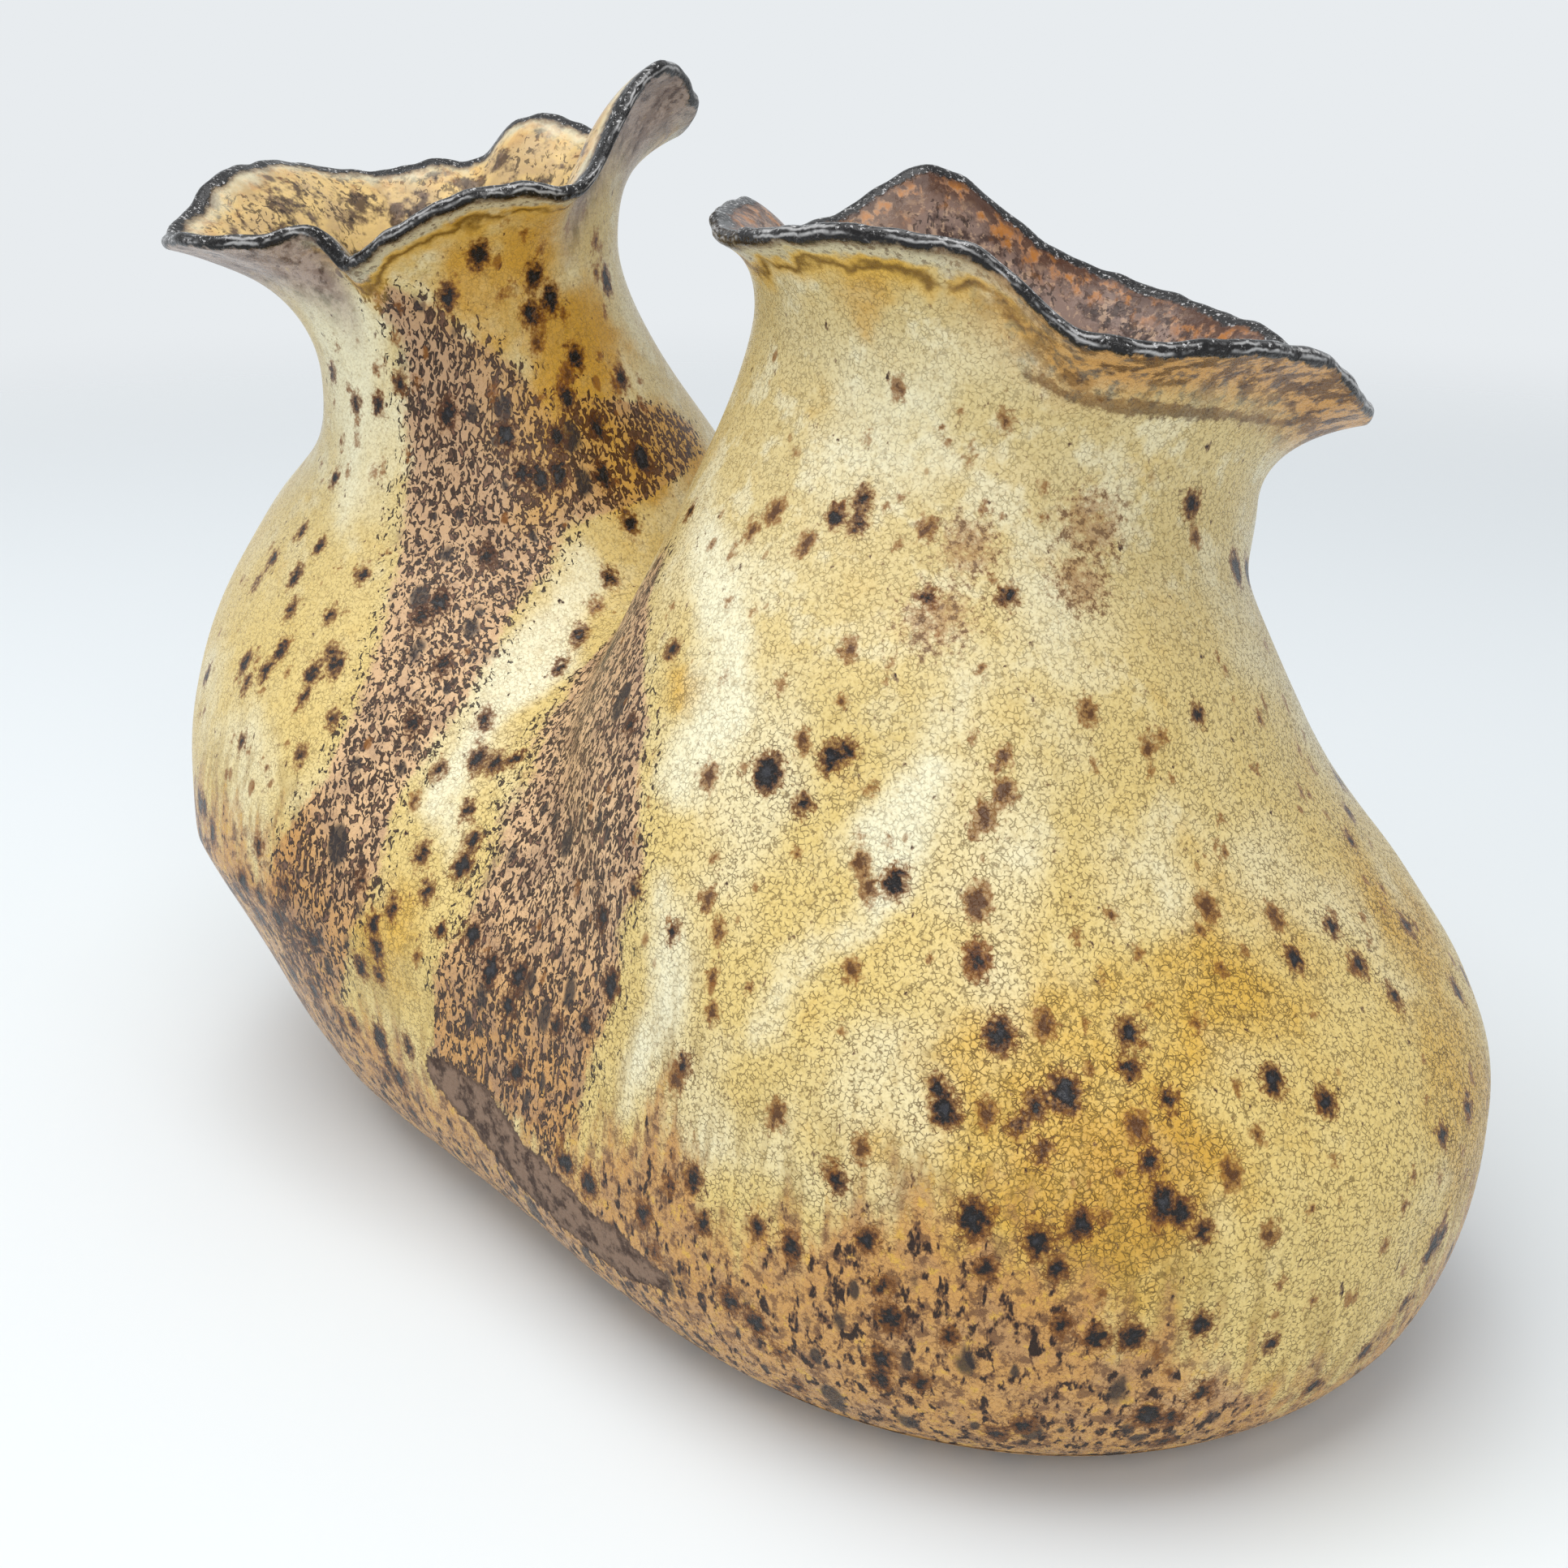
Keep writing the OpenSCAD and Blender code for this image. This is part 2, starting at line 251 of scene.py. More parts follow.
def shoulder_levels(pot, deep):
    rise = np.sin(np.linspace(0, math.pi / 2, ARCH_ROWS + 1))
    arch = mix(BELLY_SEAM_Z, SADDLE[deep], rise)
    collar = np.linspace(SADDLE[deep], neck_seam_z(pot), COLLAR_ROWS + 1)[1:]
    return [float(w) for w in (*arch, *collar)]


def along_rim(pot, angle, column):
    """Smooth closed curve through one column of the ruffle points."""
    table = np.array(pot.rim, float)
    knots = np.concatenate([table[:, 0] - 360, table[:, 0], table[:, 0] + 360])
    values = np.tile(table[:, column], 3)
    steps = np.diff(knots)
    slopes = np.diff(values) / steps
    bends = (slopes[:-1] * steps[1:] + slopes[1:] * steps[:-1]) / (steps[1:] + steps[:-1])
    bends = np.concatenate([[0], bends, [0]])
    at = np.degrees(angle) % 360
    k = np.searchsorted(knots, at, side="right") - 1
    t = (at - knots[k]) / steps[k]
    return (
        values[k] * (1 + 2 * t) * (1 - t) ** 2
        + values[k + 1] * t * t * (3 - 2 * t)
        + steps[k] * (bends[k] * t * (1 - t) ** 2 - bends[k + 1] * t * t * (1 - t))
    )


def lip_rows(pot):
    """Rows of a lip: up the outside, over the rounded rim and down the inside to the waist."""
    a = np.linspace(-math.pi, math.pi, AROUND + 1)
    plan = plan_angle(pot, a)
    outer = row(pot, pot.neck_z, 0)
    inner = row(pot, pot.neck_z, 1)
    thick = np.linalg.norm(outer - inner, axis=1)
    ripple = sum(height * np.sin(count * plan + start) for count, height, start in RIM_RIPPLES)
    reach = pot.neck_r * along_rim(pot, plan, REACH) / HUNDREDTHS - RIM_T / 2 + ripple
    crest_z = pot.neck_z + pot.neck_r * along_rim(pot, plan, RISE) / HUNDREDTHS + ripple
    up = crest_z - outer[:, 2] - RIM_T / 2
    rows = []

    def place(out, high):
        x = outer[:, 0] + out * np.cos(plan)
        y = outer[:, 1] + out * np.sin(plan)
        rows.append(np.stack([x, y, outer[:, 2] + high], -1))

    def section(t):
        out = reach * t * t
        high = 2 * UPRIGHT_SHARE * up * t * (1 - t) + up * t * t
        along = np.stack([2 * reach * t, 2 * UPRIGHT_SHARE * up * (1 - 2 * t) + 2 * up * t])
        along = along / np.linalg.norm(along, axis=0)
        return out, high, along

    for t in np.linspace(0, 1, LIP_ROWS + 1):
        out, high, along = section(t)
        place(out, high)
    half = RIM_T / 2
    for turn in np.linspace(0, math.pi, RIM_STEPS + 1)[1:-1]:
        side = half * (math.cos(turn) - 1)
        ahead = half * math.sin(turn)
        place(out + side * along[1] + ahead * along[0], high - side * along[0] + ahead * along[1])
    for t in np.linspace(1, 0, LIP_ROWS + 1):
        out, high, along = section(t)
        width = mix(thick, RIM_T, t)
        place(out - width * along[1], high + width * along[0])
    return np.array(rows)


# Every piece is a list of grids of points, each with the kind of face that it makes.
def wall_grids(outside, inside):
    outside = np.array(outside)
    inside = np.array(inside)[::-1]
    return [
        (OUTSIDE, outside),
        (INSIDE, inside),
        (JOINT, np.array([outside[-1], inside[0]])),
        (JOINT, np.array([inside[-1], outside[0]])),
    ]


def belly_grids():
    levels = np.linspace(FLOOR_T, BELLY_SEAM_Z, BELLY_ROWS + 1)
    return wall_grids([full_row(w, 0) for w in levels], [full_row(w, 1) for w in levels])


def shoulder_grids(pot):
    outside = [row(pot, w, 0) for w in shoulder_levels(pot, 0)]
    inside = [row(pot, w, 1) for w in shoulder_levels(pot, 1)]
    arch = ARCH_ROWS + 1
    start = np.array([[o[0], i[0]] for o, i in zip(outside[:arch], inside[:arch])])
    end = np.array([[i[-1], o[-1]] for o, i in zip(outside[:arch], inside[:arch])])
    return wall_grids(outside, inside) + [(JOINT, start), (JOINT, end)]


def neck_grids(pot):
    levels = np.linspace(neck_seam_z(pot), pot.neck_z, NECK_ROWS + 1)
    return wall_grids([row(pot, w, 0) for w in levels], [row(pot, w, 1) for w in levels])


def lip_grids(pot):
    rows = lip_rows(pot)
    crest = LIP_ROWS + RIM_STEPS // 2
    return [
        (OUTSIDE, rows[: crest + 1]),
        (INSIDE, rows[crest:]),
        (JOINT, np.array([rows[-1], rows[0]])),
    ]


def floor_grids():
    edge = np.array([full_row(FLOOR_T * t * t, 0) for t in np.linspace(0, 1, FLOOR_ROWS + 1)])
    shrink = np.linspace(1, 0, FLOOR_RINGS + 1)[:, None, None] * np.array([1, 1, 0]) + [0, 0, 1]
    return [(OUTSIDE, edge), (INSIDE, edge[-1] * shrink), (JOINT, edge[0] * shrink[::-1])]


GRIDS = {
    "floor_slab": floor_grids(),
    "belly_wall": belly_grids(),
    "front_shoulder": shoulder_grids(FRONT),
    "rear_shoulder": shoulder_grids(REAR),
    "front_neck": neck_grids(FRONT),
    "rear_neck": neck_grids(REAR),
    "front_lip": lip_grids(FRONT),
    "rear_lip": lip_grids(REAR),
}
POT_OF_LIP = {"front_lip": FRONT, "rear_lip": REAR}
# Points that agree to these digits of a millimetre are one point.
WELD_DIGITS = 4
TINY = 1e-12


def welded(points):
    """Points without repeats, the place of each old point among them, and where each was found first."""
    keys = np.round(points, WELD_DIGITS) + 0.0
    _, first, place = np.unique(keys, axis=0, return_index=True, return_inverse=True)
    return points[first], place.reshape(-1), first


def grid_faces(rows, columns, start):
    """Four-sided faces of a grid whose points are numbered on from start."""
    i, j = np.meshgrid(np.arange(rows - 1), np.arange(columns - 1), indexing="ij")
    a = (start + i * columns + j).reshape(-1)
    return np.stack([a, a + 1, a + columns + 1, a + columns], -1)


def gathered(grids):
    """Points, faces and the kind of each face of a piece, before welding."""
    points = []
    faces = []
    kinds = []
    start = 0
    for kind, grid in grids:
        rows, columns = grid.shape[:2]
        points.append(grid.reshape(-1, 3))
        new = grid_faces(rows, columns, start)
        faces.append(new)
        kinds.append(np.full(len(new), kind))
        start += rows * columns
    return np.concatenate(points), np.concatenate(faces), np.concatenate(kinds)


def face_normals(points, faces):
    a = points[faces[:, 2]] - points[faces[:, 0]]
    b = points[faces[:, 3]] - points[faces[:, 1]]
    return np.cross(a, b)


def skin_normals(points, faces):
    """Soft normals over the whole skin, so that a seam between pieces doesn't show."""
    merged, place, _ = welded(points)
    total = np.zeros_like(merged)
    weights = face_normals(points, faces)
    for corner in range(4):
        np.add.at(total, place[faces[:, corner]], weights)
    total /= np.maximum(np.linalg.norm(total, axis=1, keepdims=True), TINY)
    return total[place]


# The hand-formed skin is a little uneven: long soft waves over all of it, from a few plane waves.
WAVES = 16
WAVE_LENGTHS = (16, 60)
WAVE_HEIGHT = 0.16
LEVEL_FOOT = (2, 14)
MARK_BEND = 3.5
BEND_TURNS = (1.0, 2.0, 3.0)
SEED = 11
rng = np.random.default_rng(SEED)
wave_ways = rng.normal(size=(WAVES, 3))
wave_ways /= np.linalg.norm(wave_ways, axis=1, keepdims=True)
wave_ways *= 2 * math.pi / rng.uniform(*WAVE_LENGTHS, size=(WAVES, 1))
wave_starts = rng.uniform(0, 2 * math.pi, WAVES)


def waves(points, turn=0.0):
    """A soft random value for each point, mostly between -1 and 1."""
    return np.sin(points @ wave_ways.T + wave_starts + turn).sum(1) / math.sqrt(WAVES)


def unevenness(points):
    return WAVE_HEIGHT * waves(points) * between(points[:, 2], *LEVEL_FOOT)


def bent(points):
    """The points pushed about by the waves, so that a mark drawn on them has an uneven outline."""
    return points + MARK_BEND * np.stack([waves(points, turn) for turn in BEND_TURNS], -1)


# Glaze marks. A mark's place is its direction in plan about the pot's upright axis, in degrees, and its
# height. The third value is its radius, or the half width of a run.
IRON_SPOTS = {
    FRONT: (
        (-50, 75, 2.1), (-64, 72, 1.9), (-59, 83, 1.9), (-54, 73, 1.2), (-56, 71, 0.9), (-53, 68, 1.0),
        (-39, 60, 1.9), (-37, 59, 1.5), (-40, 66, 1.1), (-35, 56, 1.1), (-66, 75, 1.0), (-75, 59, 1.1),
        (-63, 91, 1.3), (-42, 82, 1.4), (-42, 78, 1.1), (-77, 101, 1.6), (-100, 114, 2.2), (-92, 117, 1.5),
        (-90, 119, 1.1), (-93, 110, 1.0), (-115, 151, 1.3), (-113, 153, 1.2), (-110, 150, 1.0),
        (-146, 144, 0.9), (-126, 127, 1.2), (-105, 87, 1.0), (-99, 68, 1.2), (27, 150, 1.5), (-11, 120, 0.9),
        (-10, 86, 1.3), (2, 87, 1.2), (4, 82, 1.3), (24, 81, 1.2), (7, 77, 1.2), (26, 69, 1.3),
        (-22, 74, 1.7), (-16, 69, 1.5), (-37, 74, 1.0), (3, 57, 1.2), (12, 57, 1.2), (29, 94, 1.0),
        (-89, 140, 0.9), (-70, 140, 1.2), (-146, 96, 0.9), (-140, 79, 1.8), (-141, 83, 1.5), (-137, 68, 1.0),
        (-144, 113, 1.3), (-126, 114, 1.0), (-118, 83, 1.8), (-113, 92, 1.1), (-132, 65, 2.2),
        (-128, 66, 1.9), (-114, 74, 2.0), (-128, 60, 1.7), (-135, 70, 1.8), (-121, 62, 1.4), (-116, 65, 1.7),
        (-134, 40, 2.1), (-126, 49, 1.7), (-116, 39, 1.4), (-113, 37, 1.8), (-103, 39, 1.6), (-95, 50, 1.6),
        (-93, 43, 1.3), (-86, 46, 1.2), (-90, 30, 1.6), (-86, 28, 1.7), (-72, 50, 1.5), (-60, 58, 2.1),
        (-69, 37, 1.8), (-70, 29, 1.8), (-70, 43, 1.0), (-58, 49, 1.1), (-51, 51, 1.2), (-53, 55, 1.7),
        (-48, 57, 1.6), (-50, 41, 1.1), (-42, 39, 1.7), (-39, 21, 2.0), (-34, 40, 1.5), (-33, 26, 1.3),
    ),
    REAR: (
        (-105, 103, 1.3), (-98, 103, 1.1), (-97, 108, 1.3), (-88, 105, 1.3), (-86, 109, 1.0), (-84, 107, 1.4),
        (-118, 96, 1.1), (-115, 121, 1.0), (-104, 120, 1.2), (-115, 116, 0.8), (-103, 125, 0.8),
        (-88, 122, 1.0), (-100, 115, 0.9), (-90, 115, 0.8), (-110, 137, 0.8), (-111, 127, 0.8),
        (-102, 100, 0.8), (-87, 101, 0.8), (-80, 98, 0.8), (-84, 92, 0.9), (-98, 90, 0.8), (-107, 152, 1.0),
        (-99, 153, 0.9), (-117, 157, 0.9), (-92, 158, 1.0), (-54, 95, 1.5), (-51, 95, 1.2), (-54, 101, 1.2),
        (-60, 92, 0.9), (-60, 79, 1.2), (-54, 87, 0.9), (-59, 74, 1.1), (-64, 69, 0.9), (-66, 55, 0.9),
        (-62, 42, 1.2), (-68, 40, 1.9), (-74, 40, 1.1), (-19, 130, 1.3), (-29, 122, 1.1), (-42, 109, 0.9),
        (-38, 114, 1.2), (-68, 119, 1.7), (-71, 116, 1.4), (-78, 152, 1.6), (-59, 148, 1.7), (-54, 141, 1.4),
        (-48, 141, 1.8), (-41, 147, 1.5), (-41, 141, 1.7), (-25, 149, 1.5), (-6, 142, 2.0), (-60, 127, 1.4),
        (-64, 109, 1.4), (-66, 100, 1.4), (-26, 140, 1.6), (-37, 154, 1.4), (-50, 178, 1.5), (-52, 171, 1.4),
        (-67, 182, 1.6), (-43, 174, 1.6), (5, 174, 1.5), (-78, 174, 1.4), (-32, 163, 1.3), (-4, 157, 1.3),
    ),
}
RUST_SPOTS = {
    FRONT: (
        (-77, 60, 1.3), (-73, 65, 1.6), (-84, 66, 1.8), (-64, 99, 2.2), (-53, 84, 1.8), (-59, 72, 1.7),
        (-63, 114, 1.8), (-66, 110, 1.8), (-80, 100, 1.6), (-83, 103, 1.6), (-97, 119, 1.4),
        (-108, 111, 1.7), (-97, 132, 1.4), (-126, 150, 1.8), (-128, 146, 1.4), (-116, 146, 1.5),
        (-101, 94, 1.4), (-98, 90, 1.4), (-97, 83, 1.2), (-96, 78, 1.4), (-100, 65, 1.9), (-79, 89, 1.4),
        (27, 145, 1.4), (-30, 118, 1.3), (-23, 95, 1.9), (-9, 91, 1.7), (-31, 63, 1.8), (-27, 54, 1.5),
        (-42, 71, 1.9), (-97, 150, 1.5), (-46, 124, 1.6), (-118, 170, 1.2), (-64, 118, 1.4),
        (-85, 166, 1.2), (-63, 92, 2.2),
    ),
    REAR: ((-63, 87, 1.2), (-33, 118, 1.3), (-58, 62, 1.2), (-36, 158, 1.4), (-6, 183, 1.2), (-50, 165, 1.2)),
}
FADED_PATCHES = {FRONT: ((-85, 147, 6), (-85, 137, 7), (-39, 149, 7), (-47, 142, 6))}
# Pale glaze runs, laid partly along the lamps' broad sheen: partly painted highlight.
PALE_RUNS_AND_HIGHLIGHTS = {
    FRONT: (
        ((-139, 145, 5), (-121, 133, 6), (-112, 120, 6), (-111, 110, 4)),
        ((-75, 116, 4), (-83, 105, 5), (-85, 101, 3)),
        ((-105, 92, 4), (-104, 78, 5), (-106, 60, 5)),
        ((80, 110, 9), (74, 92, 12), (66, 70, 8)),
    ),
    REAR: (
        ((-40, 122, 6), (-50, 112, 6), (-54, 103, 5), (-57, 88, 4)),
        ((-104, 170, 7), (-106, 152, 9), (-104, 138, 5)),
        ((140, 120, 7), (148, 104, 9), (152, 92, 5)),
    ),
}
PALE_WISPS = {
    FRONT: (
        ((-85, 100, 5), (-87, 88, 5), (-90, 75, 5)),
        ((-51, 136, 4), (-52, 133, 4)),
        ((-70, 131, 4), (-72, 124, 6)),
        ((-57, 107, 6), (-58, 104, 6)),
        ((-120, 172, 8), (-104, 160, 10)),
        ((-36, 104, 6), (-37, 100, 6)),
        ((-92, 56, 5), (-84, 60, 5)),
    ),
    REAR: (((-96, 83, 7), (-120, 100, 9)),),
}
WISP_STRENGTH = 0.5
# Painted shadow: dark runs under the flare of the front lip, where the lip shades the neck.
LIP_SHADOW_RUNS = {
    FRONT: (
        ((-75, 173, 0.8), (-46, 169, 1.3), (-24, 168, 1.6), (-2, 167, 1.4), (27, 166, 1.0), (48, 162, 0.8)),
        ((32, 171, 1.2), (46, 165, 2.8), (54, 162, 2.4)),
        ((-62, 177, 1.2), (-51, 173, 2.0)),
    ),
}
AMBER_PATCHES = {
    FRONT: (
        (-48, 69, 26), (-24, 84, 18), (-120, 122, 6), (-52, 58, 22), (-111, 188, 7),
        (14, 56, 22), (26, 82, 16), (100, 60, 24),
    ),
    REAR: ((-61, 180, 16), (-36, 158, 16), (-64, 64, 12), (-10, 137, 9), (130, 80, 26)),
}
DEEP_PATCHES = {
    FRONT: ((-46, 66, 16), (-120, 184, 8)),
    REAR: ((-61, 180, 15), (-36, 160, 16), (-41, 146, 11), (-22, 146, 12), (-4, 142, 12), (20, 142, 12)),
}
# The bare rubbed patch on the lower front, and the edge of the brown foot all round: direction and height.
BARE_PATCH = (
    (-136, 40, 3.5), (-131, 37, 6), (-127, 33, 6.5), (-119, 29, 6), (-108, 27, 5.2), (-102, 27, 3.2),
)
FOOT_LINE = {
    FRONT: (
        (-137, 41), (-114, 47), (-107, 53), (-101, 64), (-97, 58), (-93, 47), (-86, 49), (-79, 52), (-73, 61),
        (-65, 62), (-60, 60), (-53, 57), (-46, 50), (-42, 42), (-34, 40), (-26, 30), (-12, 18), (0, 28),
        (24, 48), (60, 40), (90, 52), (137, 50),
    ),
    REAR: (
        (-180, 52), (-150, 66), (-108, 76), (-94, 77), (-84, 76), (-78, 56), (-73, 46), (-62, 41), (62, 50),
        (80, 56), (105, 48), (140, 60),
    ),
}
# The brown bands: rows of height, then the directions between which the band lies there.
BANDS = {
    FRONT: (
        (
            (136, -147, -145), (130, -149, -138), (121, -157, -129), (115, -160, -123), (104, -150, -117),
            (94, -143, -112), (83, -139, -114), (69, -136, -113), (41, -137, -118),
        ),
        ((119, 154, 157), (113, 142, 151), (104, 134, 146), (88, 127, 140), (45, 118, 133)),
    ),
    REAR: (
        (
            (188, -108, -105), (177, -99, -89), (168, -93, -76), (158, -90, -54), (149, -90, -37),
            (134, -85, -37), (117, -78, -52), (101, -76, -60), (88, -79, -65), (74, -85, -67),
            (45, -90, -75),
        ),
        ((155, -40, -36), (151, -44, 12), (145, -44, 40), (139, -43, 22), (131, -42, -39)),
        ((134, 72, 78), (121, 84, 97), (110, 86, 103), (76, 89, 107), (40, 86, 113)),
    ),
}
# More spots strewn over the sides that no listed spot marks: directions, heights, sizes and count.
STREWN_SPOTS = {
    FRONT: (((-130, 60), (10, 46), (0.7, 1.6), 40), ((35, 150), (14, 150), (0.8, 2.2), 60)),
    REAR: (((-130, -62), (12, 74), (0.8, 1.8), 46), ((110, 230), (14, 150), (0.8, 2.2), 50)),
}
STREWN_RUST = {
    FRONT: (((-50, 45), (30, 128), (0.3, 1.1), 90), ((-135, -60), (62, 168), (0.2, 0.8), 60)),
    REAR: (((-125, -85), (75, 175), (0.2, 0.7), 50), ((-70, 20), (150, 190), (0.4, 1.1), 26)),
}
SPOT_STRETCH = {FRONT: 0.8, REAR: 0.65}
RUST_STRETCH = {FRONT: 0.7, REAR: 0.6}
FIELD_LIMIT = 30.0
# A soft patch is full within the first share of its radius and ends at the second. A run is full at a
# share of its width.
PATCH_FADE = (0.1, 1.6)
RUN_FULL = 0.9


def direction(points, pot):
    return np.degrees(np.arctan2(points[:, 1], points[:, 0] - pot.belly_x))


def turned(angle):
    """The same angle between -180 and 180 degrees."""
    return (angle + 180) % 360 - 180


def belongs(points, pot):
    return (points[:, 0] - MID_X) * pot.side >= 0


class Skin:
    """The vase's outer skin, on which marks are found by direction and height."""

    def __init__(self, points, normals):
        self.sides = {}
        for pot in (FRONT, REAR):
            mine = belongs(points, pot)
            self.sides[pot] = (points[mine], normals[mine], direction(points[mine], pot))

    def find(self, pot, mark):
        """The mark's point on the skin, and the way down the wall there."""
        points, normals, angles = self.sides[pot]
        across = np.radians(turned(angles - mark[0])) * pot.belly_r
        nearest = np.hypot(across, points[:, 2] - mark[1]).argmin()
        normal = normals[nearest]
        down = normal * normal[2] - (0, 0, 1)
        return points[nearest], down / np.linalg.norm(down)


def spot_field(points, skin, table, stretch):
    """How deep each point lies inside the nearest spot, in mm; spots are drawn out down the wall."""
    best = np.full(len(points), -FIELD_LIMIT)
    for pot, spots in table.items():
        for spot in spots:
            place, down = skin.find(pot, spot)
            away = points - place
            along = away @ down
            across = (away * away).sum(1) - along * along
            best = np.maximum(best, spot[2] - np.sqrt(np.maximum(across, 0) + (stretch[pot] * along) ** 2))
    return best


def run_field(points, skin, pot, run):
    """How deep each point lies inside a tapering run of glaze, in mm; below 0 outside it."""
    places = [skin.find(pot, mark)[0] for mark in run]
    best = np.full(len(points), -FIELD_LIMIT)
    for k in range(len(run) - 1):
        along = places[k + 1] - places[k]
        t = np.clip((points - places[k]) @ along / (along @ along), 0, 1)
        away = np.linalg.norm(points - places[k] - t[:, None] * along, axis=1)
        best = np.maximum(best, mix(run[k][2], run[k + 1][2], t) - away)
    return best


def patch_share(points, skin, table):
    """Soft round patches, 1 at their middles."""
    total = np.zeros(len(points))
    for pot, patches in table.items():
        for patch in patches:
            away = np.linalg.norm(points - skin.find(pot, patch)[0], axis=1)
            full, end = (share * patch[2] for share in PATCH_FADE)
            total = np.maximum(total, 1 - between(away, full, end))
    return total


def run_share(points, skin, table):
    """Soft runs, 1 along their middles."""
    total = np.zeros(len(points))
    for pot, runs in table.items():
        for run in runs:
            edge = max(mark[2] for mark in run)
            total = np.maximum(total, between(run_field(points, skin, pot, run), -edge, RUN_FULL * edge))
    return total


def band_field(points):
    """How deep each point lies inside a brown band, in mm."""
    best = np.full(len(points), -FIELD_LIMIT)
    for pot, bands in BANDS.items():
        angles = direction(points, pot)
        radius = np.radians(np.hypot(points[:, 0] - pot.belly_x, points[:, 1]))
        for band in bands:
            heights, starts, ends = np.array(band[::-1], float).T
            start = np.interp(points[:, 2], heights, starts)
            end = np.interp(points[:, 2], heights, ends)
            across = (end - start) / 2 - np.abs(turned(angles - (start + end) / 2))
            upright = np.minimum(heights[-1] - points[:, 2], points[:, 2] - heights[0])
            inside = np.minimum(across * radius, upright)
            best = np.where(belongs(points, pot), np.maximum(best, inside), best)
    return best


def foot_field(points):
    """How far each point lies below the upper edge of the brown foot, in mm."""
    total = np.zeros(len(points))
    for pot, line in FOOT_LINE.items():
        angles, heights = np.array(line, float).T
        edge = np.interp(direction(points, pot), angles, heights, period=360)
        total = np.where(belongs(points, pot), edge - points[:, 2], total)
    return total


def with_strewn(table, regions_of):
    """The listed spots of each pot, then the strewn ones."""
    found = {}
    for pot, regions in regions_of.items():
        spots = list(table[pot])
        for ranges in regions:
            for _ in range(ranges[3]):
                spots.append(tuple(rng.uniform(*ends) for ends in ranges[:3]))
        found[pot] = spots
    return found


# Windows of plan angle in which a lip's outside is mauve: [start, full, full, end].
MAUVE_WINDOWS = {
    "rear_lip": ((190, 206, 274, 284), (-6, 6, 40, 66), (110, 130, 160, 176)),
    "front_lip": ((-72, -30, 60, 90), (130, 150, 165, 180)),
}
MAUVE_REACH = {"rear_lip": (14, 34), "front_lip": (9, 22)}
FAR_FROM_RIM = 60.0


def rim_fields(name, grids):
    """Distance from the rim's crest along the lip, and the mauve share, for each point of a piece."""
    count = sum(grid.shape[0] * grid.shape[1] for _, grid in grids)
    if name not in POT_OF_LIP:
        return np.full(count, FAR_FROM_RIM), np.zeros(count)
    pot = POT_OF_LIP[name]
    plan = np.degrees(plan_angle(pot, np.linspace(-math.pi, math.pi, AROUND + 1)))
    window = np.zeros(AROUND + 1)
    for start, rise, fall, end in MAUVE_WINDOWS[name]:
        past = (plan - start) % 360
        inside = between(past, 0, rise - start) * (1 - between(past, fall - start, end - start))
        window = np.maximum(window, inside)
    distances = []
    mauves = []
    for kind, grid in grids:
        if kind == JOINT:
            distance = np.full(grid.shape[:2], FAR_FROM_RIM)
        else:
            steps = np.linalg.norm(np.diff(grid, axis=0), axis=2)
            reach = np.concatenate([np.zeros((1, grid.shape[1])), np.cumsum(steps, axis=0)])
            distance = reach[-1] - reach if kind == OUTSIDE else reach
        distances.append(distance.reshape(-1))
        mauves.append((window * (1 - between(distance, *MAUVE_REACH[name]))).reshape(-1))
    return np.concatenate(distances), np.concatenate(mauves)


def set_field(mesh, name, values):
    mesh.attributes.new(name, "FLOAT", "POINT").data.foreach_set("value", values.astype(np.float32))


def build_piece(name, points, faces, kinds, normals, fields, materials):
    """One welded mesh object, with soft skin normals and flat joint faces."""
    merged, place, first = welded(points)
    faces = place[faces]
    mesh = bpy.data.meshes.new(name)
    polygons = []
    for face in faces:
        corners = list(dict.fromkeys(int(v) for v in face))
        polygons.append(corners)
    kept = [k for k, corners in enumerate(polygons) if len(corners) > 2]
    mesh.from_pydata((merged * MM).tolist(), [], [polygons[k] for k in kept])
    for material in materials:
        mesh.materials.append(material)
    mesh.polygons.foreach_set("material_index", kinds[kept].astype(np.int32))
    mesh.polygons.foreach_set("use_smooth", kinds[kept] != JOINT)
    for field, values in fields.items():
        set_field(mesh, field, values[first])
    mesh.update()
    joint_edges = set()
    loops = np.empty((len(mesh.loops), 3))
    soft = normals[first]
    for polygon in mesh.polygons:
        flat = polygon.material_index == JOINT
        if flat:
            joint_edges.update(polygon.edge_keys)
        for loop in polygon.loop_indices:
            loops[loop] = polygon.normal if flat else soft[mesh.loops[loop].vertex_index]
    for edge in mesh.edges:
        edge.use_edge_sharp = edge.key in joint_edges
    mesh.normals_split_custom_set(loops.tolist())
    piece = bpy.data.objects.new(name, mesh)
    bpy.context.scene.collection.objects.link(piece)
    return piece


# Colours of the clay and the glazes, as they show on a screen.
CREAM = (0.970, 0.945, 0.810)
STRAW = (0.905, 0.800, 0.510)
PALE_STRAW = (0.870, 0.795, 0.580)
AMBER = (0.880, 0.700, 0.290)
DEEP_AMBER = (0.830, 0.635, 0.250)
OLIVE = (0.600, 0.470, 0.170)
DARK_OLIVE = (0.440, 0.310, 0.080)
CRACK = (0.360, 0.255, 0.050)
RUST = (0.540, 0.330, 0.085)
DARK_RUST = (0.290, 0.150, 0.045)
STAIN = (0.640, 0.460, 0.285)
IRON = (0.075, 0.055, 0.050)
IRON_BLUE = (0.260, 0.265, 0.290)
DROP = (0.170, 0.140, 0.135)
GOLD_TAN = (0.800, 0.585, 0.335)
BAND_TAN = (0.885, 0.725, 0.555)
LIP_TAN = (0.845, 0.645, 0.390)
PINK_TAN = (0.815, 0.675, 0.555)
GREY_TAN = (0.620, 0.480, 0.395)
BROWN = (0.470, 0.340, 0.270)
FOOT_BROWN = (0.400, 0.260, 0.170)
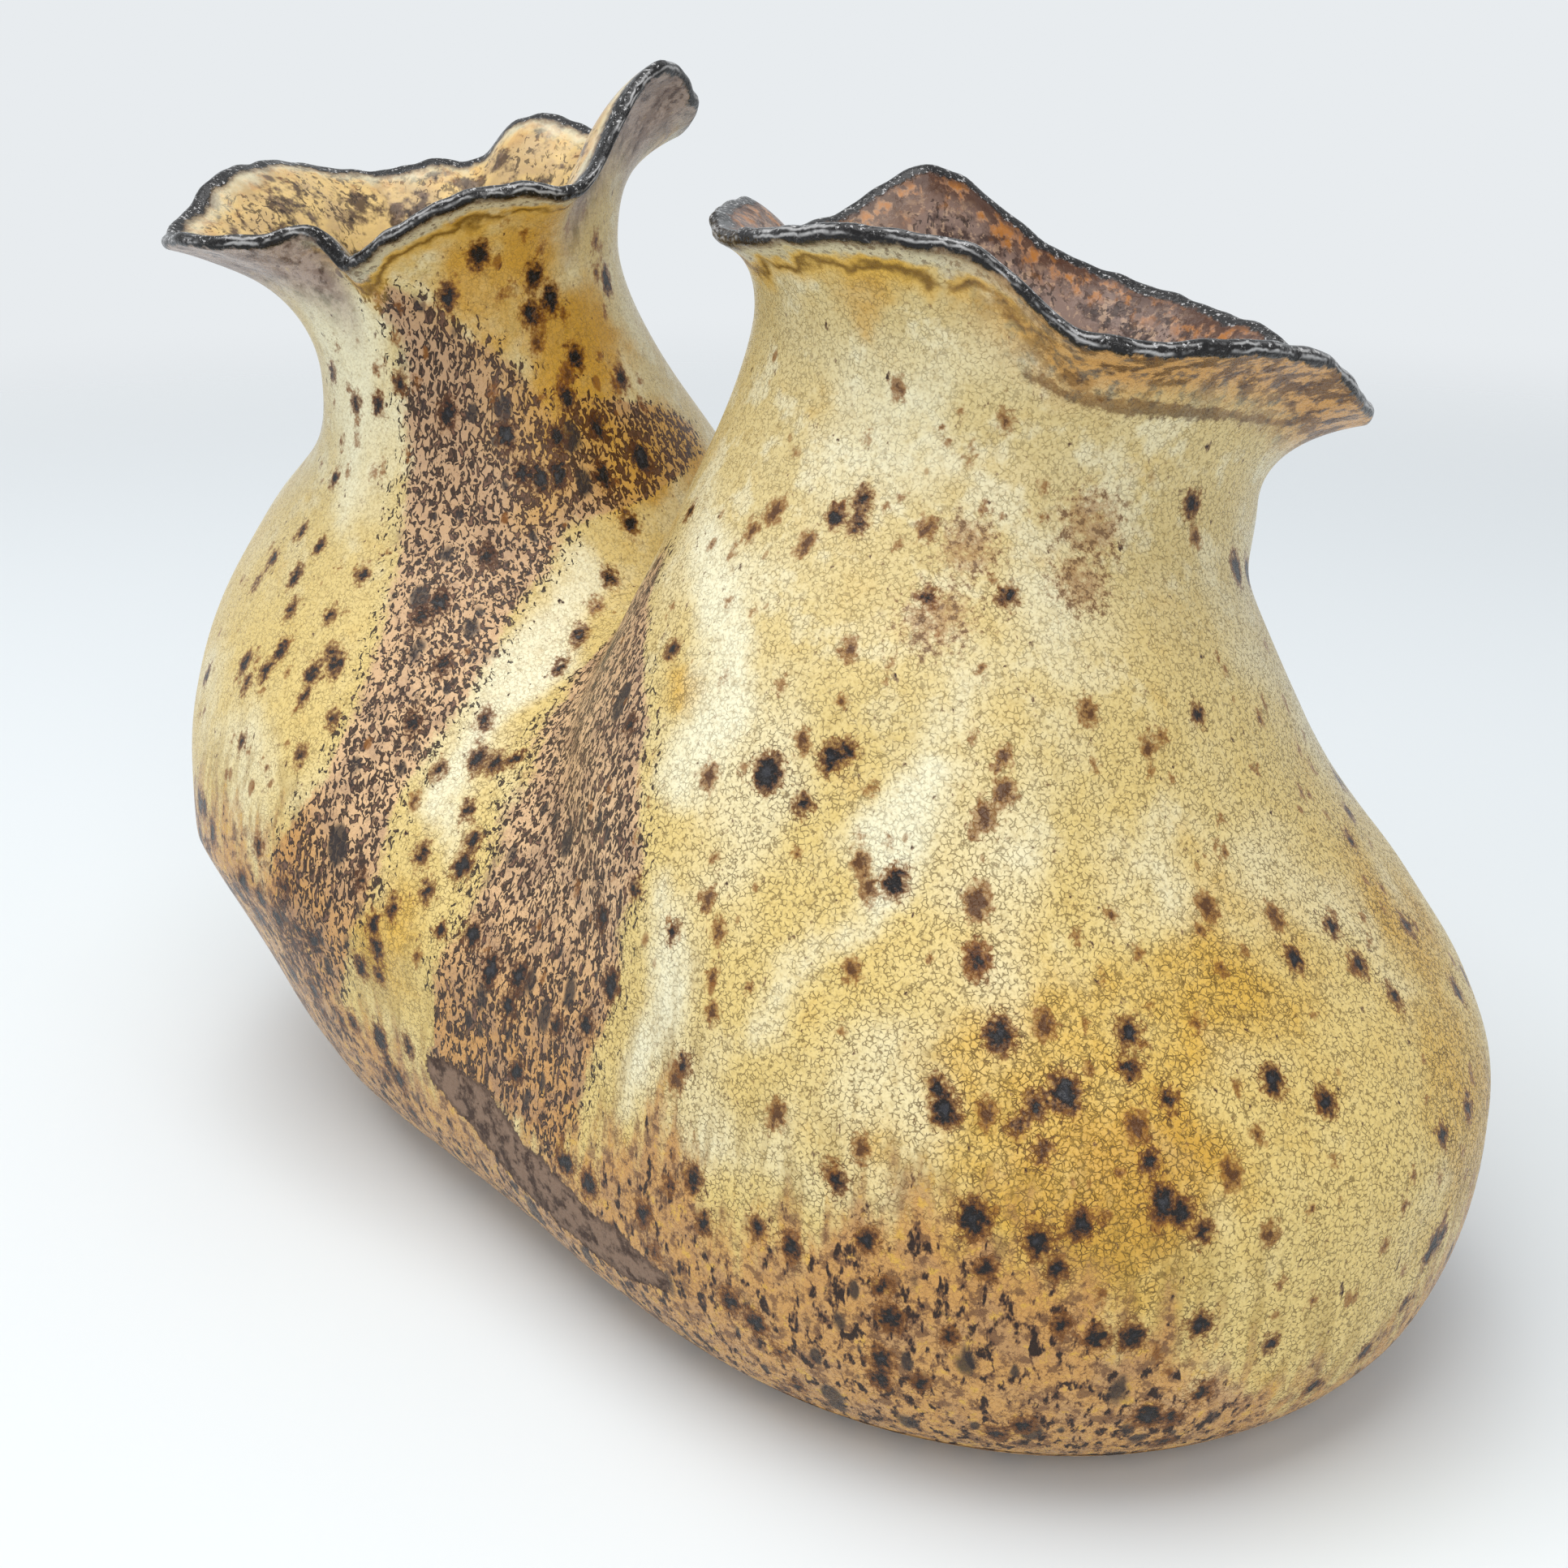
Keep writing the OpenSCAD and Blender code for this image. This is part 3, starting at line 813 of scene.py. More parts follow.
DARK_BROWN = (0.130, 0.065, 0.040)
TAUPE = (0.545, 0.445, 0.370)
DARK_TAUPE = (0.270, 0.195, 0.155)
MAUVE = (0.700, 0.630, 0.595)
DARK_MAUVE = (0.400, 0.345, 0.330)
RIM_DARK = (0.070, 0.060, 0.060)
# Painted highlight colours: glints and a bright crest line on the dark rim.
GLINT_GREY = (0.460, 0.450, 0.445)
HIGHLIGHT_SILVER = (0.800, 0.795, 0.790)
PALE_GREY = (0.820, 0.800, 0.700)
INSIDE_GOLD = (0.930, 0.800, 0.530)
INSIDE_MAUVE = (0.570, 0.470, 0.420)
INSIDE_BROWN = (0.255, 0.170, 0.140)
INSIDE_ORANGE = (0.720, 0.450, 0.135)
CLAY = (0.430, 0.345, 0.290)
DARK_CLAY = (0.300, 0.230, 0.190)

# How far a pattern is drawn out down the wall where the glaze flowed, and where it ran.
FLOW_STRETCH = 0.5
RUN_STRETCH = 0.16
RUN_DETAIL = 3
GLOSS = 0.3
BUMP_STRENGTH = 0.7
BUMP_DEPTH = 0.35
NOISE_MIDDLE = 0.5
# Crackle lines: cell sizes and line width, then the core as a share of the width, and the bends and gaps
# as shares of the cell.
CRACK_CELL = 0.9
WIDE_CRACK_CELL = 1.5
CRACK_WIDTH = 0.11
CRACK_CORE = 0.2
CRACK_BEND_SIZE = 0.8
CRACK_BEND = 0.7
CRACK_GAP_SIZE = 1.1
CRACK_GAPS = (0.38, 0.56)
# Drops: how they are bent, how their sizes spread, and their soft edge as shares of the largest radius.
DROP_BEND = (2, 1.2)
DROP_SPREAD = 1.2
DROP_REACH = 1.6
DROP_EDGE = (-0.15, 0.35)
# Places of the share and the two colours among a mix node's inputs, and of the colour it gives.
MIX_INPUTS = (0, 6, 7)
MIX_OUTPUT = 2


def linear(colour):
    """Screen colour to the light values that a shader takes."""
    return tuple(c / 12.92 if c <= 0.04045 else ((c + 0.055) / 1.055) ** 2.4 for c in colour)


class Glaze:
    """A material's nodes. Sizes are in mm; wherever a value goes in, a node's output may go in too."""

    def __init__(self, name):
        self.material = bpy.data.materials.new(name)
        self.material.use_nodes = True
        self.tree = self.material.node_tree
        self.shader = self.tree.nodes["Principled BSDF"]
        place = self.node("ShaderNodeTexCoord").outputs["Object"]
        self.place = self.scaled(place, (1 / MM, 1 / MM, 1 / MM))
        self.flow = self.scaled(place, (1 / MM, 1 / MM, FLOW_STRETCH / MM))
        self.run = self.scaled(place, (1 / MM, 1 / MM, RUN_STRETCH / MM))

    def node(self, kind, **settings):
        made = self.tree.nodes.new(kind)
        for key, value in settings.items():
            setattr(made, key, value)
        return made

    def put(self, socket, value):
        if isinstance(value, bpy.types.NodeSocket):
            self.tree.links.new(value, socket)
        elif isinstance(value, tuple) and socket.type == "RGBA":
            socket.default_value = (*linear(value), 1)
        else:
            socket.default_value = value

    def scaled(self, vector, factors):
        made = self.node("ShaderNodeVectorMath", operation="MULTIPLY")
        self.put(made.inputs[0], vector)
        self.put(made.inputs[1], factors)
        return made.outputs[0]

    def math(self, operation, a, b=0.0, c=0.0):
        made = self.node("ShaderNodeMath", operation=operation)
        for socket, value in zip(made.inputs, (a, b, c)):
            self.put(socket, value)
        return made.outputs[0]

    def times(self, a, b):
        return self.math("MULTIPLY", a, b)

    def most(self, a, b):
        return self.math("MAXIMUM", a, b)

    def less(self, a, b):
        return self.math("SUBTRACT", a, b)

    def plus(self, value, *parts):
        """value with every part added to it; a part is a value and its weight."""
        for part, weight in parts:
            value = self.math("MULTIPLY_ADD", part, weight, value)
        return value

    def field(self, name, *pushes):
        """A value that the mesh holds, pushed up and down by noises; a push is a noise and its depth."""
        value = self.node("ShaderNodeAttribute", attribute_name=name).outputs["Fac"]
        for noise, depth in pushes:
            value = self.plus(value, (self.less(noise, NOISE_MIDDLE), depth / NOISE_MIDDLE))
        return value

    def span(self, share, low, high):
        """low where share is 0, high where it is 1."""
        return self.plus(low, (share, high - low))

    def rise(self, value, lo, hi):
        """0 at lo, 1 at hi, softly; lo may be above hi."""
        made = self.node("ShaderNodeMapRange", interpolation_type="SMOOTHSTEP")
        for socket, number in zip(made.inputs, (value, lo, hi, 0.0, 1.0)):
            self.put(socket, number)
        return made.outputs[0]

    def ridge(self, value, at, width):
        """1 where value is at, falling softly to 0 within width on both sides."""
        return self.rise(self.math("ABSOLUTE", self.less(value, at)), width, 0.0)

    def mix(self, a, b, share, *more):
        """Colour a with b laid over it by a share, thinned by any more shares."""
        for further in more:
            share = self.times(share, further)
        made = self.node("ShaderNodeMix", data_type="RGBA")
        for place, value in zip(MIX_INPUTS, (share, a, b)):
            self.put(made.inputs[place], value)
        return made.outputs[MIX_OUTPUT]

    def coat(self, below, coat, value, *shares):
        """A coat over the colour below, laid where value is high and thinned by any further shares."""
        colour, start, full, share = coat
        return self.mix(below, colour, self.rise(value, start, full), share, *shares)

    def strew(self, below, coat, *shares):
        """A coat over the colour below, laid where its own noise is high."""
        *coat, noise = coat
        return self.coat(below, coat, self.noise(*noise), *shares)

    def patches(self, noise, start, full):
        """1 where a noise is high, 0 where it is low."""
        return self.rise(self.noise(*noise), start, full)

    def pattern(self, kind, vector, size, **settings):
        """A noise or a set of cells of one size, drawn on a vector."""
        made = self.node(kind, **settings)
        self.put(made.inputs["Vector"], vector)
        self.put(made.inputs["Scale"], 1 / size)
        return made

    def noise(self, size, detail=2, rough=0.5, flowing=False, twist=0):
        made = self.pattern("ShaderNodeTexNoise", self.flow if flowing else self.place, size)
        self.put(made.inputs["Detail"], detail)
        self.put(made.inputs["Roughness"], rough)
        self.put(made.inputs["Distortion"], twist)
        return made.outputs["Fac"]

    def runs(self, size):
        """Long streaks that run down the wall."""
        made = self.pattern("ShaderNodeTexNoise", self.run, size)
        self.put(made.inputs["Detail"], RUN_DETAIL)
        return made.outputs["Fac"]

    def pushed(self, vector, size, depth):
        """vector bent by a noise, so that a pattern drawn on it isn't regular."""
        made = self.node("ShaderNodeVectorMath", operation="MULTIPLY_ADD")
        self.put(made.inputs[0], self.pattern("ShaderNodeTexNoise", vector, size).outputs["Color"])
        self.put(made.inputs[1], (depth, depth, depth))
        self.put(made.inputs[2], vector)
        return made.outputs[0]

    def cracks(self, size):
        """Fine broken crackle lines, 1 on a line."""
        bent = self.pushed(self.place, CRACK_BEND_SIZE * size, CRACK_BEND * size)
        cells = self.pattern("ShaderNodeTexVoronoi", bent, size, feature="DISTANCE_TO_EDGE")
        width = CRACK_WIDTH / size
        line = self.rise(cells.outputs["Distance"], width, CRACK_CORE * width)
        return self.times(line, self.rise(self.noise(CRACK_GAP_SIZE * size), *CRACK_GAPS))

    def drops(self, cell, largest, odds):
        """Drops drawn out down the wall, in the given share of the cells; 1 in a drop."""
        cells = self.pattern("ShaderNodeTexVoronoi", self.pushed(self.flow, *DROP_BEND), cell, feature="F1")
        chance = self.node("ShaderNodeSeparateColor")
        self.put(chance.inputs[0], cells.outputs["Color"])
        reach = largest / cell
        radius = self.times(self.rise(chance.outputs[0], 1 - odds, DROP_SPREAD), DROP_REACH * reach)
        inside = self.less(radius, cells.outputs["Distance"])
        return self.rise(inside, DROP_EDGE[0] * reach, DROP_EDGE[1] * reach)

    def along(self, axis, start, end):
        """0 before start and 1 after end, along one axis of the vase."""
        split = self.node("ShaderNodeSeparateXYZ")
        self.put(split.inputs[0], self.place)
        return self.rise(split.outputs[axis], start, end)

    def finish(self, colour, roughness, height):
        self.put(self.shader.inputs["Base Color"], colour)
        self.put(self.shader.inputs["Roughness"], roughness)
        self.put(self.shader.inputs["Specular IOR Level"], GLOSS)
        bump = self.node("ShaderNodeBump")
        self.put(bump.inputs["Strength"], BUMP_STRENGTH)
        self.put(bump.inputs["Distance"], BUMP_DEPTH * MM)
        self.put(bump.inputs["Height"], height)
        self.put(self.shader.inputs["Normal"], bump.outputs["Normal"])
        return self.material


# The glazes are laid in coats. A noise is its size, detail, roughness, whether it flows, and its twist.
# A coat is its colour, where it starts, where it is full, how much of it shows there and, if it is strewn,
# its own noise. An edge is where something starts and where it is full, and patches are a noise and an edge.
# Other pairs are values at both ends of a share.
POT_CHANGE = 20
NECK_RISE = (95, 160)


def front_share(g):
    """1 on the front pot, 0 on the rear one."""
    return g.along("X", MID_X - POT_CHANGE, MID_X + POT_CHANGE)


def height_share(g):
    """0 on the belly, 1 on the neck and lip."""
    return g.along("Z", *NECK_RISE)


CLOUD_NOISE = (10, 4, 0.6)
CLOUD_PUSH = 0.9
PALE_PUSH = 0.55
PALE_EDGE = (0, 1.05)
PALE_SHARE = 0.95
NECK_PALENESS = 0.8
CREAM_CLOUDS = (CREAM, 0.45, 0.72, 0.5, (26, 2))
NECK_CLOUDS = (CREAM, 0.50, 0.64, 0.6, (9, 4, 0.6))
AMBER_CLOUDS = (AMBER, 0, 1.2, 0.95)
DEEP_CLOUDS = (DEEP_AMBER, 0.2, 1, 0.9)
FINE_GRAIN = (OLIVE, 0.42, 0.80, 0.34, (0.5, 1))
COARSE_GRAIN = (OLIVE, 0.52, 0.74, 0.26, (2.4, 3, 0.6))
WIDE_CRACK_EDGE = (0.2, 0.8)
FINE_CRACK_SHARE = 0.8
CRACKS_BY_POT = (0.55, 1)
CRACKS_BY_HEIGHT = (1, 0.6)
CRACKS_BY_PALENESS = (0.88, 0.38)


def crackle_ground(g, drift):
    """Straw to cream ground with amber clouds and pale runs, partly painted highlight, under a fine crackle.
    """
    cloudy = g.noise(*CLOUD_NOISE)
    amber = g.field("amber", (cloudy, CLOUD_PUSH))
    deep = g.field("deep", (cloudy, CLOUD_PUSH))
    pale = g.times(g.rise(g.field("pale", (drift, PALE_PUSH)), *PALE_EDGE), PALE_SHARE)
    high = height_share(g)
    colour = g.mix(STRAW, PALE_STRAW, high, NECK_PALENESS)
    colour = g.strew(colour, CREAM_CLOUDS)
    colour = g.strew(colour, NECK_CLOUDS, high)
    colour = g.coat(colour, AMBER_CLOUDS, amber)
    colour = g.coat(colour, DEEP_CLOUDS, deep)
    # Pale runs: paler glaze, partly painted highlight.
    colour = g.mix(colour, CREAM, pale)
    colour = g.strew(colour, FINE_GRAIN)
    colour = g.strew(colour, COARSE_GRAIN)
    wide = g.times(g.cracks(WIDE_CRACK_CELL), g.rise(amber, *WIDE_CRACK_EDGE))
    cracks = g.most(g.times(g.cracks(CRACK_CELL), FINE_CRACK_SHARE), wide)
    cracks = g.times(cracks, g.span(front_share(g), *CRACKS_BY_POT))
    cracks = g.times(cracks, g.span(high, *CRACKS_BY_HEIGHT))
    colour = g.mix(colour, CRACK, cracks, g.span(pale, *CRACKS_BY_PALENESS))
    return colour, cracks


# Depths to which the noises push the edges of the bands and of the foot.
BAND_DRIFT = 4
BAND_FINE = 1.3
FOOT_DRIFT = 12
FOOT_RUNS = 16
FOOT_FINE = 2.5
FOOT_RUN_SIZE = 3.2
BROWN_CLOUDS = ((8, 3, 0.6), 0.44, 0.64)
DRIPS = (OLIVE, 0.46, 0.60, 0.4)
DRIP_EDGE = (-26, 2)
FOOT_GREYNESS = 0.4
FOOT_COAT = (-4, 12, 0.85)
GOLDEN_EDGE = (-45, -5)
BAND_GREYNESS = 0.6
BAND_AMBER = 0.9
BAND_COAT = (-1.4, 1.4, 0.92)
FOOT_MOTTLE_NOISE = (2.8, 4, 0.7)
FOOT_MOTTLE_EDGE = (-6, 10)
FOOT_LIGHTS = (AMBER, 0.44, 0.34, 0.7)
FOOT_DARKS = (FOOT_BROWN, 0.50, 0.60, 0.75)
# Specks: worm-like, thick in the bands. Their limit is the height of noise above which a speck lies.
WORM_NOISE = (1.05, 2, 0.5, True, 1)
SPECK_BAND_EDGE = (-9, 4)
SPECK_LIMIT = (0.70, 0.487)
SPECK_LIMIT_DROP = -0.03
SPECK_EDGE = (0, 0.03)
SPECK_FADE = (-9, -4)
SPECK_MIDDLE = (BROWN, 0.10, 0.22, 1)
SPECK_RUST = 0.7
SPECK_SHARE = 0.95
# Blots: larger, soaked into the foot.
BLOT_NOISE = (1.9, 3, 0.65, True, 0.2)
BLOT_FOOT_EDGE = (-2, 18)
BLOT_LIMIT = (0.70, 0.555)
BLOT_RING = (FOOT_BROWN, -0.05, 0.02, 0.8)
BLOT_EDGE = (0, 0.06)
BLOT_SHARE = 0.95
# Drops: spacing, largest radius and the share of places that hold one.
BIG_DROPS = (6, 2, 0.6)
SMALL_DROPS = (3.8, 1, 0.55)
FOOT_LAG = 12
DROPS_EDGE = (-3, 4)
DROP_SHARE = 0.9


def brown_mottle(g, colour, drift, fine):
    """The brown bands and the foot: tan grounds thick with dark specks and drops."""
    runs = g.runs(FOOT_RUN_SIZE)
    band = g.field("band", (drift, BAND_DRIFT), (fine, BAND_FINE))
    foot = g.field("foot", (drift, FOOT_DRIFT), (runs, FOOT_RUNS), (fine, FOOT_FINE))
    deep = g.field("deep")
    clouds = g.patches(*BROWN_CLOUDS)

    colour = g.coat(colour, DRIPS, runs, g.rise(foot, *DRIP_EDGE))
    ground = g.mix(GOLD_TAN, GREY_TAN, clouds, FOOT_GREYNESS)
    colour = g.coat(colour, (ground, *FOOT_COAT), foot)
    ground = g.mix(BAND_TAN, GOLD_TAN, g.rise(g.field("foot"), *GOLDEN_EDGE))
    ground = g.mix(ground, GREY_TAN, g.most(clouds, height_share(g)), BAND_GREYNESS)
    ground = g.mix(ground, DEEP_AMBER, deep, BAND_AMBER)
    colour = g.coat(colour, (ground, *BAND_COAT), band)

    mottle = g.noise(*FOOT_MOTTLE_NOISE)
    low = g.rise(foot, *FOOT_MOTTLE_EDGE)
    colour = g.coat(colour, FOOT_LIGHTS, mottle, low)
    colour = g.coat(colour, FOOT_DARKS, mottle, low)
    limit = g.plus(g.span(g.rise(band, *SPECK_BAND_EDGE), *SPECK_LIMIT), (deep, SPECK_LIMIT_DROP))
    above = g.less(g.noise(*WORM_NOISE), limit)
    specks = g.times(g.rise(above, *SPECK_EDGE), g.rise(band, *SPECK_FADE))
    speck = g.mix(g.coat(DARK_BROWN, SPECK_MIDDLE, above), DARK_RUST, deep, SPECK_RUST)
    colour = g.mix(colour, speck, specks, SPECK_SHARE)
    soaked = g.less(g.noise(*BLOT_NOISE), g.span(g.rise(foot, *BLOT_FOOT_EDGE), *BLOT_LIMIT))
    blots = g.rise(soaked, *BLOT_EDGE)
    colour = g.coat(colour, BLOT_RING, soaked)
    colour = g.mix(colour, DARK_BROWN, blots, BLOT_SHARE)

    thick = g.rise(g.most(band, g.less(foot, FOOT_LAG)), *DROPS_EDGE)
    drops = g.times(g.most(g.drops(*BIG_DROPS), g.drops(*SMALL_DROPS)), thick)
    return g.mix(colour, DROP, drops, DROP_SHARE), g.most(specks, blots), drops


SPOT_NOISE = (1.5, 3, 0.7)
RUST_ROUGH = 1.8
RUST_FINE = 1
RUST_RING = (RUST, -0.8, 0.4, 0.8)
RUST_MIDDLE = (DARK_RUST, 0.3, 1.1, 0.85)
RUST_DROPS = (8.5, 0.9, 0.5)
RUST_FLECKS = (5, 0.55, 0.5)
RUST_FLECK_SHARE = 0.7
RUST_DROP_SHARE = 0.8
FADED_ROUGH = 1.3
FADED_EDGE = (0.25, 1)
FADED_SHARE = 0.7
FADED_SPECKS = (DARK_RUST, 0.54, 0.60, 0.6)
LIP_SHADOW_ROUGH = 0.9
LIP_SHADOW = (DARK_RUST, 0.25, 0.75, 0.75)
SPOT_ROUGH = 1.8
SPOT_FINE = 1.1
SPOT_FRINGE = (DARK_RUST, -3.2, -0.4, 0.8)
SPOT_HALO = (RUST, -1.5, -0.2, 1)
HALO_BAND_EDGE = (-2, 3)
HALO_BY_BAND = (0.75, 0.20)
SPOT_RING = (DARK_RUST, -0.8, 0.3, 0.9)
SPOT_EDGE = (0.1, 0.7)
SPOT_MIDDLE = (IRON_BLUE, 0.9, 1.9, 0.5)


def iron_spots(g, colour, fine, cracks):
    """Rusty stains, faded patches, a painted shadow under the front lip's flare, and dark iron spots,
    blue-grey where the iron is thick.
    """
    rough = g.noise(*SPOT_NOISE)
    rust = g.field("rust", (rough, RUST_ROUGH), (fine, RUST_FINE))
    colour = g.coat(colour, RUST_RING, rust)
    colour = g.coat(colour, RUST_MIDDLE, rust)
    drops = g.most(g.drops(*RUST_DROPS), g.times(g.drops(*RUST_FLECKS), RUST_FLECK_SHARE))
    colour = g.mix(colour, RUST, drops, RUST_DROP_SHARE)
    faded = g.rise(g.field("faded", (rough, FADED_ROUGH)), *FADED_EDGE)
    colour = g.mix(colour, STAIN, faded, FADED_SHARE)
    colour = g.coat(colour, FADED_SPECKS, rough, faded)
    # Painted shadow under the front lip's flare.
    colour = g.coat(colour, LIP_SHADOW, g.field("lip_shadow", (rough, LIP_SHADOW_ROUGH)))
    spot = g.field("spot", (rough, SPOT_ROUGH), (fine, SPOT_FINE))
    colour = g.coat(colour, SPOT_FRINGE, spot, cracks)
    halo = g.span(g.rise(g.field("band"), *HALO_BAND_EDGE), *HALO_BY_BAND)
    colour = g.coat(colour, SPOT_HALO, spot, halo)
    colour = g.coat(colour, SPOT_RING, spot)
    iron = g.rise(spot, *SPOT_EDGE)
    return g.mix(colour, g.coat(IRON, SPOT_MIDDLE, spot), iron), iron


# Lengths here are measured from the crest of the rim.
SCALLOP_NOISE = (8, 3)
SCALLOPS = 6
RAGGED_NOISE = (2.6, 3, 0.6, True)
RAGGEDNESS = 1.2
BROKEN = ((6, 3), 0.26, 0.46)
AMBER_BELT = (AMBER, 5, 7, 0.8)
AMBER_BELT_END = (13, 8)
OLIVE_AT = 8
OLIVE_WIDTH = 1.7
OLIVE_SHARE = 0.9
PALE_BELT_END = (6.4, 4.6)
PALE_BELT_SHARE = 0.8
STREAKS = (DARK_RUST, 0.53, 0.62, 0.75, (1.2, 3, 0.65, True))


def under_rim(g, colour):
    """Below the rim: a pale belt with rusty streaks, then a scalloped olive line that fades downwards."""
    scallops = (g.noise(*SCALLOP_NOISE), SCALLOPS)
    rim = g.field("rim", scallops, (g.noise(*RAGGED_NOISE), RAGGEDNESS))
    broken = g.patches(*BROKEN)
    colour = g.coat(colour, AMBER_BELT, rim, g.rise(rim, *AMBER_BELT_END), broken)
    colour = g.mix(colour, DARK_OLIVE, g.ridge(rim, OLIVE_AT, OLIVE_WIDTH), broken, OLIVE_SHARE)
    pale = g.times(g.rise(rim, *PALE_BELT_END), PALE_BELT_SHARE)
    return g.strew(g.mix(colour, PALE_GREY, pale), STREAKS, pale)


OUTER_EDGE_WIDTH = 1.9
INNER_EDGE_WIDTH = 4.2
CHIP_NOISE = (1.7, 3, 0.65)
CHIPS = 1.4
SWELL_NOISE = (8, 2)
SWELLS = 2
EDGE_STAIN = (DARK_RUST, 2.2, 0, 0.75)
EDGE_END = (0.4, -0.5)
# Painted highlights on the dark rim: glints strewn over it, and a broken bright line along its crest.
GLINT_NOISE = (0.9, 3, 0.7)
OUTER_GLINTS = (GLINT_GREY, 0.57, 0.66, 0.65, GLINT_NOISE)
INNER_GLINTS = (HIGHLIGHT_SILVER, 0.57, 0.66, 0.9, GLINT_NOISE)
CREST_NOISE = (3, 2)
CREST_PUSH = 0.9
CREST_AT = 0.6
CREST_WIDTH = 0.45
CREST_HIGHLIGHT = (HIGHLIGHT_SILVER, 0.42, 0.58, 0.7, (6, 3, 0.65))


def rim_edge(g, colour, width, glints):
    """The dark glossy edge of the rim, with painted highlight glints and a thin painted highlight line along
    its crest; also returns its share.
    """
    chips = (g.noise(*CHIP_NOISE), CHIPS)
    past = g.less(g.field("rim", chips, (g.noise(*SWELL_NOISE), SWELLS)), width)
    colour = g.coat(colour, EDGE_STAIN, past)
    dark = g.rise(past, *EDGE_END)
    crest = g.ridge(g.field("rim", (g.noise(*CREST_NOISE), CREST_PUSH)), CREST_AT, CREST_WIDTH)
    # Painted highlight: glints, then a bright line along the crest.
    edge = g.strew(g.strew(RIM_DARK, glints), CREST_HIGHLIGHT, crest)
    return g.mix(colour, edge, dark), dark


DRIFT_NOISE = (7, 4, 0.6, True)
FINE_NOISE = (0.9, 2)
BARE_DRIFT = 2.6
BARE_FINE = 1.3
BARE_EDGE = (-0.25, 0.25)
BARE_RING_EDGE = (1.8, 0.2)
BARE_RING_SHARE = 0.7
RUBBED = ((4, 4, 0.7), 0.46, 0.62)
VEIL_NOISE = (2.6, 4, 0.65, True)
VEIL_DARKS = (DARK_MAUVE, 0.48, 0.66, 1)
VEIL_EDGE = (0.12, 0.42)
VEIL_BURNS = (DARK_RUST, 0.46, 0.55, 1, (5, 4, 0.65))
VEIL_BURNS_BY_POT = (0.4, 0.8)
RIM_BUMP_NOISE = (1.6, 3, 0.6)
RIM_BUMP = 1.2
# Roughness of the glaze and what each mark adds to it, then the same for its height.
OUTSIDE_ROUGH = 0.27
CRACK_ROUGH = 0.18
SPECK_ROUGH = 0.10
BARE_ROUGH = 0.40
RIM_ROUGH = -0.12
OUTSIDE_BUMP_NOISE = (1.1, 3, 0.6)
OUTSIDE_BUMP = 0.55
CRACK_BUMP = -0.5
SPECK_BUMP = -0.2
DROP_BUMP = -0.2
SPOT_BUMP = -0.25
BARE_BUMP = -0.9


def outside_glaze():
    """Amber crackle glaze with brown mottled bands, iron spots, pale runs and a dark rim."""
    g = Glaze("outside_glaze")
    drift = g.noise(*DRIFT_NOISE)
    fine = g.noise(*FINE_NOISE)
    colour, cracks = crackle_ground(g, drift)
    colour, specks, drops = brown_mottle(g, colour, drift, fine)
    colour, iron = iron_spots(g, colour, fine, cracks)

    depth = g.field("bare", (drift, BARE_DRIFT), (fine, BARE_FINE))
    ring = g.times(g.rise(depth, *BARE_RING_EDGE), BARE_RING_SHARE)
    worn = g.mix(TAUPE, DARK_TAUPE, g.most(g.patches(*RUBBED), ring))
    bare = g.rise(depth, *BARE_EDGE)
    colour = under_rim(g, g.mix(colour, worn, bare))

    front = front_share(g)
    streaks = g.noise(*VEIL_NOISE)
    colour, dark = rim_edge(g, colour, OUTER_EDGE_WIDTH, OUTER_GLINTS)
    veiled = g.times(g.times(g.field("mauve"), g.rise(streaks, *VEIL_EDGE)), g.less(1, dark))
    colour = g.mix(colour, g.coat(g.mix(MAUVE, LIP_TAN, front), VEIL_DARKS, streaks), veiled)
    colour = g.strew(colour, VEIL_BURNS, veiled, g.span(front, *VEIL_BURNS_BY_POT))

    roughness = g.plus(
        OUTSIDE_ROUGH, (cracks, CRACK_ROUGH), (specks, SPECK_ROUGH), (bare, BARE_ROUGH), (dark, RIM_ROUGH)
    )
    height = g.plus(
        g.times(g.noise(*OUTSIDE_BUMP_NOISE), OUTSIDE_BUMP),
        (cracks, CRACK_BUMP),
        (specks, SPECK_BUMP),
        (drops, DROP_BUMP),
        (iron, SPOT_BUMP),
        (bare, BARE_BUMP),
        (g.times(dark, g.noise(*RIM_BUMP_NOISE)), RIM_BUMP),
    )
    return g.finish(colour, roughness, height)


INSIDE_CLOUDS = ((13, 3, 0.6), 0.42, 0.60)
INSIDE_CLOUD_SHARE = 0.4
INSIDE_PATCHES = (INSIDE_BROWN, 0.50, 0.62, 0.9, (7, 4, 0.65))
INSIDE_GRAIN = (PINK_TAN, 0.52, 0.60, 1, (1.8, 4, 0.65))
INSIDE_GRAIN_BY_POT = (0.15, 0.60)
INSIDE_WORMS = ((1.3, 2, 0.6, True, 0.8), 0.54, 0.59)
INSIDE_WORM_PATCHES = ((9, 3), 0.40, 0.56)
INSIDE_WORM_SHARE = 0.75
INSIDE_DROPS = (6, 1.5, 0.5)
INSIDE_DROP_SHARE = 0.85
INSIDE_DRIFT_NOISE = (8, 4, 0.62, True)
INSIDE_DRIFT = 7
INSIDE_STREAK_NOISE = (3.4, 4, 0.62, True)
CREAM_BELT = (CREAM, 9, 4, 1)
CREAM_BELT_BY_POT = (0.8, 0)
DARK_BELT_EDGE = (13, 5)
DARK_BELT = (DARK_RUST, 0.56, 0.48, 1)
DARK_BELT_BY_POT = (0.20, 0.90)
ORANGE_BELT_EDGE = (13, 7)
ORANGE_BELT = (INSIDE_ORANGE, 0.47, 0.62, 1)
ORANGE_BELT_BY_POT = (0.35, 0.85)
